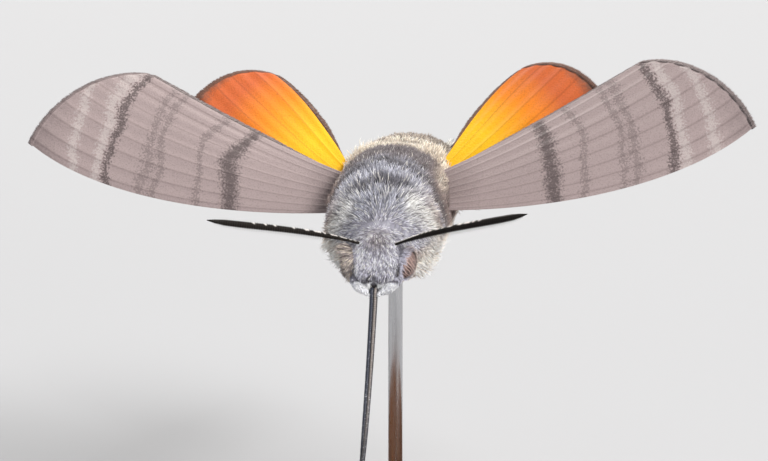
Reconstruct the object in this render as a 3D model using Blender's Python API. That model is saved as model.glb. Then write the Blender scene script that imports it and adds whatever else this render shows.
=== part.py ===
"""A hummingbird hawk moth (Macroglossum stellatarum) hovering on a plain display stand, at life size.

The moth faces -Y, with its own left towards +X. The origin is the centre of the stand's underside.
The moth is laid out from the point midway between its forewing hinges, which is its body frame.
"""

import math

import bmesh
import bpy
from mathutils import Matrix, Vector

MM = 0.001
GAP = 0.3 * MM
TINY = 0.001 * MM
ACROSS = Vector((1, 0, 0))
UP = Vector((0, 0, 1))
SIDES = (("left", 1), ("right", -1))

# Where the body frame stands over the base
BODY_HEIGHT = 31.5 * MM
BODY_FORWARD = 2.0 * MM

# The thorax from front to back, in millimetres: place along Y, half width, height over and under its
# axis. It rolls a little, with the moth's left side up
THORAX_AXIS_Z = -0.3 * MM
THORAX_ROLL = math.radians(8)
THORAX_PROFILE = (
    (-5.3, 3.1, 2.3, 2.5),
    (-4.2, 3.95, 3.4, 3.3),
    (-2.4, 4.25, 4.25, 3.85),
    (0.0, 4.35, 4.5, 4.0),
    (2.4, 4.25, 4.15, 3.85),
    (4.6, 3.95, 3.55, 3.4),
)

# The head, turned a little to the moth's right, leaning and nodding down
HEAD_CENTRE = Vector((0, -6.2, -1.08)) * MM
HEAD_WIDTH = 5.0 * MM
HEAD_LENGTH = 4.7 * MM
HEAD_HEIGHT = 4.7 * MM
HEAD_TURN = math.radians(-0.5)
HEAD_LEAN = math.radians(-1.5)
HEAD_NOD = math.radians(9)
EYE_CENTRE = Vector((0.34 * HEAD_WIDTH, -0.16 * HEAD_LENGTH, 0.01 * HEAD_HEIGHT))
EYE_HALF_SIZES = Vector((0.85, 1.05, 1.05)) * MM

# The parts of the head, in the head's own frame
PALP_PATH = ((1.0, -1.0, -0.8), (1.0, -2.2, -0.5), (0.92, -2.95, -0.42), (0.7, -3.6, -0.5))
PALP_RADII = (0.5, 0.52, 0.5, 0.26)
PALP_HEIGHT = 2.0
PALP_LEAN = math.radians(46)
ANTENNA_ROOT = Vector((0.292 * HEAD_WIDTH, -0.21 * HEAD_LENGTH, 0.36 * HEAD_HEIGHT))
ANTENNA_LENGTH = 10.3 * MM
ANTENNA_THICKNESS = 0.5 * MM
ANTENNA_CLUB = 0.62 * MM
ANTENNA_CLUB_END = 0.53 * MM
ANTENNA_TIP = 0.2 * MM
ANTENNA_FORWARD = math.radians(15)
ANTENNA_RISE = {"left": math.radians(23), "right": math.radians(16.5)}
ANTENNA_ARCH = 0.35 * MM
MOUTH_PATH = ((0, -1.2, -1.5), (0, -2.6, -0.8), (0, -3.4, -0.7), (0, -3.85, -1.45))
MOUTH_BEND_LENGTH = 3.5 * MM
PROBOSCIS_LENGTH = 25.0 * MM
PROBOSCIS_THICKNESS = 0.6 * MM
PROBOSCIS_TIP_THICKNESS = 0.44 * MM
PROBOSCIS_FORWARD = math.radians(22)
PROBOSCIS_LEAN = math.radians(-2.3)
PROBOSCIS_BOW = Vector((0.25, -0.5, 0)) * MM
PROBOSCIS_SPLIT = 0.5

# The abdomen, an arc that droops from the thorax to the tail
ABDOMEN_START = Vector((0, 2.6, -0.3)) * MM
ABDOMEN_LENGTH = 14.6 * MM
ABDOMEN_DROOP = (math.radians(8), math.radians(24))
ABDOMEN_WIDTH = 8.6 * MM
ABDOMEN_FLATNESS = 0.84
ABDOMEN_TAPER = 0.44
ABDOMEN_TAPER_POWER = 3.2
ABDOMEN_WAIST = 0.1
SEGMENT_COUNT = 7
SEGMENT_STEP = 0.025
SEGMENT_MIDDLE_STEP = 0.0175
SEGMENT_LIP = 0.12
FIRST_SEGMENT_AT = 0.16
ABDOMEN_ROOT_AT = 0.02
TUFTED_FROM = 3

# The black and white hair tufts along the sides of the abdomen
TUFT_FLARE_DEGREES = {3: 15, 4: 17, 5: 21, 6: 27}
TUFT_ANGLES = (36, 6, -24)
TUFT_LENGTH = 2.9 * MM
TUFT_LENGTH_VARIES = 0.08
TUFT_WIDTH = 2.0 * MM
TUFT_THICKNESS = 0.6 * MM
TUFT_PLACE = 0.35
TUFT_ROOT_DEPTH = 0.6 * MM
TUFT_BEND = 0.1 * MM

# A lock of scales: share of its length, share of its width, share of its thickness
LOCK_SHAPE = ((0, 0.7, 1), (0.3, 0.9, 1), (0.6, 1, 0.85), (0.85, 0.75, 0.6), (1, 0.25, 0.4))

# The tail fan of long scales
FAN_CORE_LENGTH = 2.6 * MM
FAN_CORE_SHAPE = ((0, 1, 1), (0.35, 0.98, 0.8), (0.7, 0.82, 0.5), (1, 0.45, 0.3))
FAN_ROOT_BACK = 0.9 * MM
FAN_ROOT_WIDTH = 0.55
FAN_LENGTH = 5.6 * MM
FAN_VANE_WIDTH = 1.9 * MM
FAN_THICKNESS = 0.65 * MM
FAN_SPREAD = math.radians(30)
FAN_SIDE_SHORTER = 0.14

# Each tier of the fan: how many vanes, how far over the middle in millimetres, its tilt in degrees
FAN_TIERS = ((7, 0.35, 4), (6, -0.35, -4))

# The wings, seen flat: out along the span and back along the chord, in millimetres
STROKE_TILT = math.radians(22)
WING_PITCH = math.radians(31)
WING_RISE = {"left": math.radians(12), "right": math.radians(4)}
HINGE = Vector((4.0, -0.6, -0.1)) * MM
HINGE_LEAN = 0.3 * MM
FOREWING_COSTA = ((-1.6, 0.4), (7.0, -1.5), (16.6, -1.2), (21.6, 2.1))
FOREWING_OUTER = ((21.6, 2.1), (21.0, 4.7), (18.2, 8.3), (14.4, 8.9))
FOREWING_INNER = ((-1.6, 3.0), (3.6, 4.3), (9.8, 7.1), (14.4, 8.9))
HINDWING_COSTA = ((-1.6, 0.2), (3.4, -1.9), (9.4, -1.6), (12.3, 1.2))
HINDWING_OUTER = ((12.3, 1.2), (12.5, 4.1), (10.8, 7.7), (7.4, 8.1))
HINDWING_INNER = ((-0.6, 2.1), (1.4, 3.9), (4.3, 7.2), (7.4, 8.1))
HINDWING_SPREAD = math.radians(9)
HINDWING_BACK = 1.9 * MM
HINDWING_BELOW = 1.05 * MM
FOREWING_VEINS = (0.05, 0.16, 0.28, 0.40, 0.52, 0.65, 0.79, 0.91)
HINDWING_VEINS = (0.07, 0.22, 0.37, 0.52, 0.67, 0.84)
VEIN_HALF_WIDTH = 0.025
VEIN_THICKNESS = 0.72 * MM
MEMBRANE_SHARE = 0.7
MARGIN_SHARE = 0.5
FOREWING_STATIONS = 14
HINDWING_STATIONS = 11
TIP_BEND = 0.9 * MM
CAMBER = 0.5 * MM
CAMBER_FROM = 3
WASHOUT = 0.10

# The legs, folded back under the body, as knee and foot points in millimetres
LEG_PATHS = {
    "foreleg": ((0.9, 0.4, -2.9), (1.2, 0.1, -4.65), (1.3, 0.8, -5.0), (1.3, 2.2, -5.05), (1.1, 4.2, -5.0)),
    "midleg": ((1.6, 0.8, -2.8), (2.1, 0.9, -4.2), (2.25, 1.6, -4.6), (2.15, 3.2, -4.85), (1.9, 5.6, -5.1)),
    "hindleg": ((1.9, 2.6, -2.7), (2.4, 2.8, -3.75), (2.7, 3.8, -4.1), (2.65, 6.0, -4.65), (2.2, 9.4, -5.75)),
}
LEG_RADII = (0.36, 0.34, 0.28, 0.28, 0.25)

# The stand
BASE_RADIUS = 17.0 * MM
BASE_THICKNESS = 4.0 * MM
BASE_EDGE = 0.8 * MM
ROD_RADIUS = 0.5 * MM

# Edges sharper than this stay sharp
SHARP_EDGE = math.radians(50)

# Colours, as linear red, green, blue
GREY_FUR = (0.26, 0.24, 0.26)
BROWN_FUR = (0.16, 0.13, 0.12)
PALE_FUR = (0.62, 0.58, 0.55)
EYE_BROWN = (0.10, 0.05, 0.04)
DARK_HORN = (0.02, 0.018, 0.016)
WING_BROWN = (0.30, 0.22, 0.19)
WING_ORANGE = (0.95, 0.38, 0.03)
TAIL_BLACK = (0.03, 0.027, 0.025)
WALNUT = (0.16, 0.08, 0.04)
STEEL = (0.6, 0.6, 0.6)


def clear_scene():
    """Takes away whatever the file opened with."""
    for obj in list(bpy.data.objects):
        bpy.data.objects.remove(obj, do_unlink=True)


def finish(name, colour, roughness=0.8, metallic=0.0):
    """A plain surface of one colour."""
    made = bpy.data.materials.new(name)
    made.use_nodes = True
    shader = made.node_tree.nodes["Principled BSDF"]
    shader.inputs["Base Color"].default_value = (*colour, 1.0)
    shader.inputs["Roughness"].default_value = roughness
    shader.inputs["Metallic"].default_value = metallic
    return made


def to_object(name, bm, parent=None):
    """Makes an object of a finished bmesh, with its faces turned out."""
    bmesh.ops.recalc_face_normals(bm, faces=bm.faces)
    mesh = bpy.data.meshes.new(name)
    bm.to_mesh(mesh)
    bm.free()
    obj = bpy.data.objects.new(name, mesh)
    bpy.context.scene.collection.objects.link(obj)
    obj.parent = parent
    return obj


def span_rings(bm, first, second):
    """Faces between two rings of points, either of which may be a single point."""
    count = max(len(first), len(second))
    for i in range(count):
        j = (i + 1) % count
        near = [first[i % len(first)], first[j % len(first)]]
        far = [second[j % len(second)], second[i % len(second)]]
        bm.faces.new(list(dict.fromkeys(near + far)))


def loft(name, stations, sides, parent=None):
    """A closed skin over oval rings. A station is (centre, across, up, half width, top, bottom).

    A ring point at angle a is centre + across * half width * cos a + up * sin a * top, or * bottom
    below the middle. A station with no width is a point, and an end with width is capped flat.
    """
    bm = bmesh.new()
    rings = []
    for centre, across, up, half_width, top, bottom in stations:
        if half_width < TINY:
            rings.append([bm.verts.new(centre)])
            continue
        ring = []
        for i in range(sides):
            angle = math.tau * i / sides
            rise = math.sin(angle)
            height = top if rise > 0 else bottom
            ring.append(bm.verts.new(centre + across * half_width * math.cos(angle) + up * height * rise))
        rings.append(ring)
    for first, second in zip(rings, rings[1:]):
        span_rings(bm, first, second)
    for ring in (rings[0], rings[-1]):
        if len(ring) > 1:
            bm.faces.new(ring)
    return to_object(name, bm, parent)


def smooth_path(points, steps):
    """Points along a Catmull-Rom curve through the given ones, with steps to each stretch."""
    ends = [points[0] * 2 - points[1], *points, points[-1] * 2 - points[-2]]
    path = []
    for before, start, end, after in zip(ends, ends[1:], ends[2:], ends[3:]):
        for i in range(steps):
            t = i / steps
            path.append(
                0.5
                * (
                    start * 2
                    + (end - before) * t
                    + (before * 2 - start * 5 + end * 4 - after) * t**2
                    + (start * 3 - before - end * 3 + after) * t**3
                )
            )
    return [*path, points[-1]]


def between(values, t):
    """The value at share t of a list of values, along straight lines."""
    place = t * (len(values) - 1)
    low = min(int(place), len(values) - 2)
    return values[low] + (values[low + 1] - values[low]) * (place - low)


def tube(name, path, radii, side, sides=8, grow=0.0, height=1.0, parent=None):
    """A tube along a path. Its half width at share t of the path is read from radii, plus grow, and
    its half height is that times height."""
    stations = []
    for i, centre in enumerate(path):
        along = (path[min(i + 1, len(path) - 1)] - path[max(i - 1, 0)]).normalized()
        across = (side - along * along.dot(side)).normalized()
        radius = between(radii, i / (len(path) - 1)) + grow
        stations.append((centre, across, along.cross(across), radius, radius * height, radius * height))
    return loft(name, stations, sides, parent)


def to_mesh_only(obj):
    """Applies the modifiers, then keeps the largest closed surface."""
    graph = bpy.context.evaluated_depsgraph_get()
    obj.data = bpy.data.meshes.new_from_object(obj.evaluated_get(graph))
    obj.modifiers.clear()
    bm = bmesh.new()
    bm.from_mesh(obj.data)
    left = set(bm.faces)
    pieces = []
    while left:
        piece, front = set(), [left.pop()]
        while front:
            face = front.pop()
            piece.add(face)
            for neighbour in {f for e in face.edges for f in e.link_faces} & left:
                left.discard(neighbour)
                front.append(neighbour)
        pieces.append(piece)
    pieces.sort(key=lambda faces: sum(f.calc_area() for f in faces))
    for piece in pieces[:-1]:
        bmesh.ops.delete(bm, geom=list(piece), context="FACES")
    bm.to_mesh(obj.data)
    bm.free()


def cut_by(obj, *cutters, solver="EXACT"):
    """Cuts each closed shape out of the object, and keeps what is left in one piece."""
    for cutter in cutters:
        modifier = obj.modifiers.new("cut", "BOOLEAN")
        modifier.operation = "DIFFERENCE"
        modifier.solver = solver
        modifier.object = cutter
    bpy.context.view_layer.update()
    to_mesh_only(obj)


def join(name, pieces):
    """Fuses closed pieces into one object by a Boolean union, then removes the pieces."""
    group = bpy.data.collections.new(name + "_pieces")
    bpy.context.scene.collection.children.link(group)
    for piece in pieces[1:]:
        bpy.context.scene.collection.objects.unlink(piece)
        group.objects.link(piece)
    whole = pieces[0]
    whole.name = name
    modifier = whole.modifiers.new("join", "BOOLEAN")
    modifier.operation = "UNION"
    modifier.solver = "MANIFOLD"
    modifier.operand_type = "COLLECTION"
    modifier.collection = group
    bpy.context.view_layer.update()
    to_mesh_only(whole)
    for piece in pieces[1:]:
        bpy.data.objects.remove(piece, do_unlink=True)
    bpy.data.collections.remove(group)
    return whole


def dress(obj, material):
    """Gives the object its finish, with its round faces shaded smooth."""
    obj.data.materials.clear()
    obj.data.materials.append(material)
    obj.data.shade_smooth()
    obj.data.set_sharp_from_angle(angle=SHARP_EDGE)
    return obj


def thorax(name, grow=0.0, parent=None):
    """The thorax: oval rings along a smooth profile, with flat ends for the head and the abdomen."""
    profile = smooth_path([Vector(row) for row in THORAX_PROFILE], 3)
    across = Vector((math.cos(THORAX_ROLL), 0, math.sin(THORAX_ROLL)))
    up = Vector((-math.sin(THORAX_ROLL), 0, math.cos(THORAX_ROLL)))
    stations = []
    for i, (y, half_width, top, bottom) in enumerate(profile):
        end = (i == len(profile) - 1) - (i == 0)
        centre = Vector((0, y * MM + grow * end, THORAX_AXIS_Z))
        stations.append((centre, across, up, half_width * MM + grow, top * MM + grow, bottom * MM + grow))
    return loft(name, stations, 24, parent)


def head_frame():
    """The matrix from the head's frame to the body frame."""
    lean = Matrix.Rotation(HEAD_LEAN, 4, "Y")
    turn = Matrix.Rotation(HEAD_TURN, 4, "Z") @ lean @ Matrix.Rotation(HEAD_NOD, 4, "X")
    return Matrix.Translation(HEAD_CENTRE) @ turn


def in_head(point, scale=1.0):
    """A point of the head's frame, in the body frame."""
    return head_frame() @ (Vector(point) * scale)


def ovoid(name, centre, half_sizes, rings, sides, grow=0.0, parent=None):
    """An egg round a centre of the head's frame, with its poles fore and aft."""
    turn = head_frame().to_3x3()
    across, back, up = (turn @ axis for axis in (ACROSS, Vector((0, 1, 0)), UP))
    sizes = half_sizes + Vector((grow, grow, grow))
    stations = []
    for i in range(rings + 1):
        angle = math.pi * i / rings
        middle = in_head(centre) - back * sizes.y * math.cos(angle)
        size = math.sin(angle) if 0 < i < rings else 0.0
        stations.append((middle, across, up, sizes.x * size, sizes.z * size, sizes.z * size))
    return loft(name, stations, sides, parent)


def head(name, grow=0.0, parent=None):
    """The head, an egg that its eyes are set in."""
    sizes = Vector((HEAD_WIDTH, HEAD_LENGTH, HEAD_HEIGHT)) / 2
    return ovoid(name, Vector((0, 0, 0)), sizes, 14, 22, grow, parent)


def eye(name, sign, grow=0.0, parent=None):
    """A compound eye, an egg set into the side of the head."""
    centre = Vector((EYE_CENTRE.x * sign, EYE_CENTRE.y, EYE_CENTRE.z))
    return ovoid(name, centre, EYE_HALF_SIZES, 12, 16, grow, parent)


def palp(side, sign, parent=None):
    """A furry feeler of the mouth, tall and narrow, leaning so that the pair meets in a keel below."""
    points = [in_head((x * sign, y, z), MM) for x, y, z in PALP_PATH]
    radii = [radius * MM for radius in PALP_RADII]
    across = Vector((math.cos(PALP_LEAN), 0, -sign * math.sin(PALP_LEAN)))
    return tube("palp_" + side, smooth_path(points, 3), radii, across, 12, height=PALP_HEIGHT, parent=parent)


def antenna_path(side, sign):
    """A straight reach out, up and forward, lifted by a low arch that dies away to the tip."""
    turn = head_frame().to_3x3()
    rise = ANTENNA_RISE[side]
    reach = turn @ Vector(
        (
            sign * math.cos(ANTENNA_FORWARD) * math.cos(rise),
            -math.sin(ANTENNA_FORWARD) * math.cos(rise),
            math.sin(rise),
        )
    )
    root = in_head((ANTENNA_ROOT.x * sign, ANTENNA_ROOT.y, ANTENNA_ROOT.z))
    path = []
    steps = 16
    for i in range(steps + 1):
        t = i / steps
        arch = turn @ Vector((0, 0, ANTENNA_ARCH * 4 * t * (1 - t) * (1 - t)))
        path.append(root + reach * ANTENNA_LENGTH * t + arch)
    return path


def antenna(side, sign, parent=None):
    """A club-shaped antenna, thickest past its middle and pointed at its tip."""
    thin, thick = ANTENNA_THICKNESS / 2, ANTENNA_CLUB / 2
    radii = [thin, thin, thin, thick, thick, ANTENNA_CLUB_END / 2, ANTENNA_TIP / 2]
    return tube("antenna_" + side, antenna_path(side, sign), radii, UP, 8, parent=parent)


def proboscis_path():
    """The mouth's short bend, then a gently bowed line down and forward to the tip."""
    points = [in_head(point, MM) for point in MOUTH_PATH]
    down = Vector(
        (
            math.sin(PROBOSCIS_LEAN),
            -math.sin(PROBOSCIS_FORWARD),
            -math.cos(PROBOSCIS_FORWARD),
        )
    ).normalized()
    start = points[-1]
    run = PROBOSCIS_LENGTH - MOUTH_BEND_LENGTH
    steps = 6
    for i in range(1, steps + 1):
        t = i / steps
        points.append(start + down * run * t + PROBOSCIS_BOW * 4 * t * (1 - t))
    return smooth_path(points, 3)


def proboscis(name, start, end, grow=0.0, parent=None):
    """The stretch of the feeding tube between two shares of its path."""
    path = proboscis_path()
    first, last = round(start * (len(path) - 1)), round(end * (len(path) - 1))
    thick = [PROBOSCIS_THICKNESS / 2, PROBOSCIS_TIP_THICKNESS / 2]
    part = path[first : last + 1]
    if first > 0:
        part[0] = part[0] + (part[1] - part[0]).normalized() * GAP
    radii = [between(thick, start), between(thick, end)]
    return tube(name, part, radii, ACROSS, 8, grow, parent=parent)


def abdomen_point(t):
    """(centre, along, up) at share t of the abdomen's arc, whose slope grows evenly."""
    low, high = ABDOMEN_DROOP
    slope = low + (high - low) * t
    bend = ABDOMEN_LENGTH / (high - low)
    centre = ABDOMEN_START + Vector(
        (0, bend * (math.sin(slope) - math.sin(low)), bend * (math.cos(slope) - math.cos(low)))
    )
    along = Vector((0, math.cos(slope), -math.sin(slope)))
    return centre, along, ACROSS.cross(along)


def abdomen_width(t):
    """Half width at share t: from a slight waist to an even width, then tapering to the tail."""
    waist = 1 - ABDOMEN_WAIST * (1 - t) ** 4
    return ABDOMEN_WIDTH / 2 * waist * (1 - ABDOMEN_TAPER * t**ABDOMEN_TAPER_POWER)


def segment_edge(number):
    """The share of the abdomen's arc at which a segment begins."""
    return FIRST_SEGMENT_AT + (1 - FIRST_SEGMENT_AT) * number / SEGMENT_COUNT


def abdomen_station(t, swell, grow=0.0):
    """An oval ring of the abdomen, swollen where a segment laps over the next."""
    centre, _, up = abdomen_point(t)
    half_width = abdomen_width(t) * (1 + swell) + grow
    height = abdomen_width(t) * ABDOMEN_FLATNESS * (1 + swell) + grow
    return (centre, ACROSS, up, half_width, height, height)


def abdomen_part(name, first, last, start=None, grow=0.0, parent=None):
    """The segments from first up to last, each flaring a little to its hind edge."""
    stations = [abdomen_station(start, 0.0, grow)] if start is not None else []
    for number in range(first, last):
        begin, end = segment_edge(number), segment_edge(number + 1)
        lip = SEGMENT_LIP * (end - begin)
        if number == first and start is None:
            begin += GAP / ABDOMEN_LENGTH
        stations.append(abdomen_station(begin, 0.0, grow))
        stations.append(abdomen_station((begin + end) / 2, SEGMENT_MIDDLE_STEP, grow))
        stations.append(abdomen_station(end - lip, SEGMENT_STEP, grow))
    stations.append(abdomen_station(segment_edge(last), 0.0, grow))
    return loft(name, stations, 20, parent)


def lock(name, root, along, flat, length, width, thickness, bend, parent):
    """A flat, blunt lock of long scales: it widens, then rounds off to its tip, and bends out of
    its own plane by a square law."""
    across = along.cross(flat).normalized()
    stations = []
    for t, swell, deep in LOCK_SHAPE:
        centre = root + along * length * t + flat * bend * t * t
        half_thickness = thickness / 2 * deep
        stations.append((centre, across, flat, width / 2 * swell, half_thickness, half_thickness))
    return loft(name, stations, 6, parent)


def side_tufts(sign, parent):
    """The locks that stand out of one side of the abdomen, a few to a segment."""
    tufts = []
    for number, flare_degrees in TUFT_FLARE_DEGREES.items():
        flare = math.radians(flare_degrees)
        t = segment_edge(number + TUFT_PLACE)
        centre, along, up = abdomen_point(t)
        for order, degrees in enumerate(TUFT_ANGLES):
            angle = math.radians(degrees)
            outward = ACROSS * sign * math.cos(angle) + up * math.sin(angle)
            wide = abdomen_width(t) - TUFT_ROOT_DEPTH
            high = wide * ABDOMEN_FLATNESS
            root = centre + ACROSS * sign * wide * math.cos(angle) + up * high * math.sin(angle)
            aim = (along * math.cos(flare) + outward * math.sin(flare)).normalized()
            flat = (outward - aim * aim.dot(outward)).normalized()
            length = TUFT_LENGTH * (1 + TUFT_LENGTH_VARIES * ((order + number) % 3 - 1))
            tufts.append(lock("tuft", root, aim, flat, length, TUFT_WIDTH, TUFT_THICKNESS, TUFT_BEND, parent))
    return tufts


def tail_fan(parent):
    """The fan at the tail: a short core, and tiers of flat locks that spread from it."""
    centre, along, up = abdomen_point(1.0)
    start = centre + along * GAP
    wide, high = abdomen_width(1.0), abdomen_width(1.0) * ABDOMEN_FLATNESS
    stations = []
    for share, size, flatness in FAN_CORE_SHAPE:
        place = start + along * FAN_CORE_LENGTH * share
        stations.append((place, ACROSS, up, wide * size, high * size * flatness, high * size * flatness))
    pieces = [loft("tail_fan", stations, 20, parent)]
    for count, lift, tilt in FAN_TIERS:
        for i in range(count):
            share = 2 * i / (count - 1) - 1
            swing = FAN_SPREAD * share
            rise = math.radians(tilt)
            level = along * math.cos(swing) + ACROSS * math.sin(swing)
            aim = level * math.cos(rise) + up * math.sin(rise)
            root = start + along * FAN_ROOT_BACK + ACROSS * wide * FAN_ROOT_WIDTH * share + up * lift * MM
            flat = (up - aim * aim.dot(up)).normalized()
            length = FAN_LENGTH * (1 - FAN_SIDE_SHORTER * share * share)
            pieces.append(lock("vane", root, aim, flat, length, FAN_VANE_WIDTH, FAN_THICKNESS, 0.0, parent))
    return join("tail_fan", pieces)


def bezier(points, t):
    """A point of a cubic curve at share t."""
    a, b, c, d = (Vector(point) for point in points)
    s = 1 - t
    return a * s**3 + b * 3 * s * s * t + c * 3 * s * t * t + d * t**3


def wing_point(costa, outer, inner, s, v):
    """A Coons patch: the point at share s of the span and share v of the chord, between the
    leading edge, the outer margin, the trailing edge and the straight root."""
    root = (Vector(costa[0]), Vector(inner[0]))
    tip = (Vector(costa[3]), Vector(outer[3]))
    along = bezier(costa, s) * (1 - v) + bezier(inner, s) * v
    across = root[0].lerp(root[1], v) * (1 - s) + bezier(outer, v) * s
    corners = root[0].lerp(root[1], v) * (1 - s) + tip[0].lerp(tip[1], v) * s
    return along + across - corners


def wing_frame(side, sign, spread, back, below):
    """The matrix from a flat wing (span, chord, upward) to the body frame."""
    upright = Vector((0, math.sin(STROKE_TILT), math.cos(STROKE_TILT)))
    facing = Vector((0, -math.cos(STROKE_TILT), math.sin(STROKE_TILT)))
    rise = WING_RISE[side]
    span = ACROSS * sign * math.cos(rise) + upright * math.sin(rise)
    level = upright * math.cos(rise) - ACROSS * sign * math.sin(rise)
    chord = level * math.cos(WING_PITCH) - facing * math.sin(WING_PITCH)
    upper = span.cross(chord) * sign
    turned = span * math.cos(spread) + chord * math.sin(spread)
    behind = chord * math.cos(spread) - span * math.sin(spread)
    place = Vector((HINGE.x * sign, HINGE.y, HINGE.z + HINGE_LEAN * sign)) + chord * back - upper * below
    frame = Matrix((turned, behind, upper)).transposed().to_4x4()
    return Matrix.Translation(place) @ frame


def vein_rows(veins):
    """Shares of the chord for the rows of a wing, each with its thickness as a share of a vein's."""
    rows = [(0.0, MARGIN_SHARE)]
    for vein in veins:
        rows.append((vein - VEIN_HALF_WIDTH, MEMBRANE_SHARE))
        rows.append((vein, 1.0))
        rows.append((vein + VEIN_HALF_WIDTH, MEMBRANE_SHARE))
    return [*rows, (1.0, MARGIN_SHARE)]


def wing(name, frame, edges, veins, stations, parent):
    """A wing: a patch of triangles bowed along span and chord, given its thickness by Solidify,
    which reads each point's share of it, so that the veins stand up as ridges on both faces."""
    length = FOREWING_COSTA[3][0]
    bm = bmesh.new()
    shares = bm.verts.layers.deform.verify()
    grid = []
    for i in range(stations + 1):
        s = i / stations
        line = []
        for v, share in vein_rows(veins):
            out, chord = wing_point(*edges, s, v)
            reach = max(out, 0.0) / length
            bow = TIP_BEND * reach**2 + CAMBER * 4 * v * (1 - v) * min(1, CAMBER_FROM * reach)
            twist = WASHOUT * chord * MM * reach
            vert = bm.verts.new(frame @ Vector((out * MM, chord * MM, bow + twist)))
            vert[shares][0] = MARGIN_SHARE if i == stations else share
            line.append(vert)
        grid.append(line)
    for near, far in zip(grid, grid[1:]):
        for j in range(len(near) - 1):
            bm.faces.new((near[j], far[j], far[j + 1]))
            bm.faces.new((near[j], far[j + 1], near[j + 1]))
    obj = to_object(name, bm, parent)
    obj.vertex_groups.new(name="thickness")
    solidify = obj.modifiers.new("thickness", "SOLIDIFY")
    solidify.thickness = VEIN_THICKNESS
    solidify.offset = 0.0
    solidify.vertex_group = "thickness"
    return obj


def leg(name, side, sign, parent):
    """A folded leg: thigh forward and down, shin and foot trailing back."""
    points = [Vector((x * sign, y, z)) * MM for x, y, z in LEG_PATHS[name]]
    radii = [radius * MM for radius in LEG_RADII]
    return tube(name + "_" + side, smooth_path(points, 4), radii, ACROSS, 8, parent=parent)


def upright_cylinder(name, radius, low, high, segments):
    """A cylinder on the stand's own axis between two heights."""
    bm = bmesh.new()
    place = Matrix.Translation((0, 0, (low + high) / 2))
    bmesh.ops.create_cone(
        bm, cap_ends=True, segments=segments, radius1=radius, radius2=radius, depth=high - low, matrix=place
    )
    return to_object(name, bm)


def stand(belly):
    """A round base with an eased edge, and one rod that ends just short of the belly."""
    base = upright_cylinder("stand_base", BASE_RADIUS, 0.0, BASE_THICKNESS, 48)
    bevel = base.modifiers.new("edge", "BEVEL")
    bevel.width = BASE_EDGE
    bevel.segments = 2
    bevel.limit_method = "ANGLE"
    rod = upright_cylinder("stand_rod", ROD_RADIUS, BASE_THICKNESS + GAP, BODY_HEIGHT, 16)
    cut_by(rod, belly)
    return base, rod


def build():
    """Builds the moth and its stand."""
    clear_scene()
    moth = bpy.data.objects.new("moth", None)
    moth.location = (0, -BODY_FORWARD, BODY_HEIGHT)
    bpy.context.scene.collection.objects.link(moth)

    grey = finish("grey fur", GREY_FUR)
    brown = finish("brown fur", BROWN_FUR)
    pale = finish("pale fur", PALE_FUR)
    eye_brown = finish("eye", EYE_BROWN, 0.25)
    horn = finish("dark horn", DARK_HORN, 0.4)
    wing_brown = finish("forewing", WING_BROWN)
    wing_orange = finish("hindwing", WING_ORANGE)
    black = finish("tail scales", TAIL_BLACK)

    thorax_space = thorax("thorax_space", GAP, moth)
    head_space = head("head_space", GAP, moth)
    mouth_space = proboscis("mouth_space", 0.0, PROBOSCIS_SPLIT, GAP, moth)
    front_space = abdomen_part("front_space", 0, TUFTED_FROM, ABDOMEN_ROOT_AT, GAP, moth)
    eye_spaces = [eye("eye_space_" + side, sign, GAP, moth) for side, sign in SIDES]
    spaces = [thorax_space, head_space, mouth_space, front_space, *eye_spaces]

    dress(thorax("thorax", parent=moth), grey)
    skull = head("head", parent=moth)
    cut_by(skull, thorax_space, *eye_spaces, solver="MANIFOLD")
    dress(skull, grey)

    upper_tube = proboscis("proboscis_upper", 0.0, PROBOSCIS_SPLIT, parent=moth)
    cut_by(upper_tube, head_space)
    dress(upper_tube, horn)
    dress(proboscis("proboscis_lower", PROBOSCIS_SPLIT, 1.0, parent=moth), horn)

    front = abdomen_part("abdomen_front", 0, TUFTED_FROM, ABDOMEN_ROOT_AT, parent=moth)
    cut_by(front, thorax_space)
    dress(front, brown)
    segments = abdomen_part("abdomen_rear", TUFTED_FROM, SEGMENT_COUNT, parent=moth)
    tufts = side_tufts(1, moth) + side_tufts(-1, moth)
    dress(join("abdomen_rear", [segments, *tufts]), brown)
    dress(tail_fan(moth), black)

    fore_edges = (FOREWING_COSTA, FOREWING_OUTER, FOREWING_INNER)
    hind_edges = (HINDWING_COSTA, HINDWING_OUTER, HINDWING_INNER)
    for side, sign in SIDES:
        dress(eye("eye_" + side, sign, parent=moth), eye_brown)
        feeler = palp(side, sign, moth)
        cut_by(feeler, head_space, mouth_space, solver="MANIFOLD")
        dress(feeler, pale)
        feeler = antenna(side, sign, moth)
        cut_by(feeler, head_space)
        dress(feeler, horn)
        place = wing_frame(side, sign, 0.0, 0.0, 0.0)
        forewing = wing("forewing_" + side, place, fore_edges, FOREWING_VEINS, FOREWING_STATIONS, moth)
        cut_by(forewing, thorax_space)
        dress(forewing, wing_brown)
        place = wing_frame(side, sign, HINDWING_SPREAD, HINDWING_BACK, HINDWING_BELOW)
        hindwing = wing("hindwing_" + side, place, hind_edges, HINDWING_VEINS, HINDWING_STATIONS, moth)
        cut_by(hindwing, thorax_space, front_space, solver="MANIFOLD")
        dress(hindwing, wing_orange)
        for name in LEG_PATHS:
            limb = leg(name, side, sign, moth)
            cut_by(limb, thorax_space)
            dress(limb, brown)

    base, rod = stand(thorax_space)
    dress(base, finish("walnut", WALNUT, 0.45))
    dress(rod, finish("steel", STEEL, 0.3, 1.0))
    for space in spaces:
        bpy.data.objects.remove(space, do_unlink=True)


build()
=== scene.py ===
"""The looks of a hummingbird hawk moth held on a plain display stand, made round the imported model.

Every shape is worked out in millimetres of the body frame, whose origin is midway between the
forewing hinges, with -Y ahead and +Z up. Its mesh is then placed in the model's frame, in metres.
"""

import math
from collections import namedtuple

import bpy
import numpy as np
from mathutils import Euler, Matrix, Vector


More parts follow.
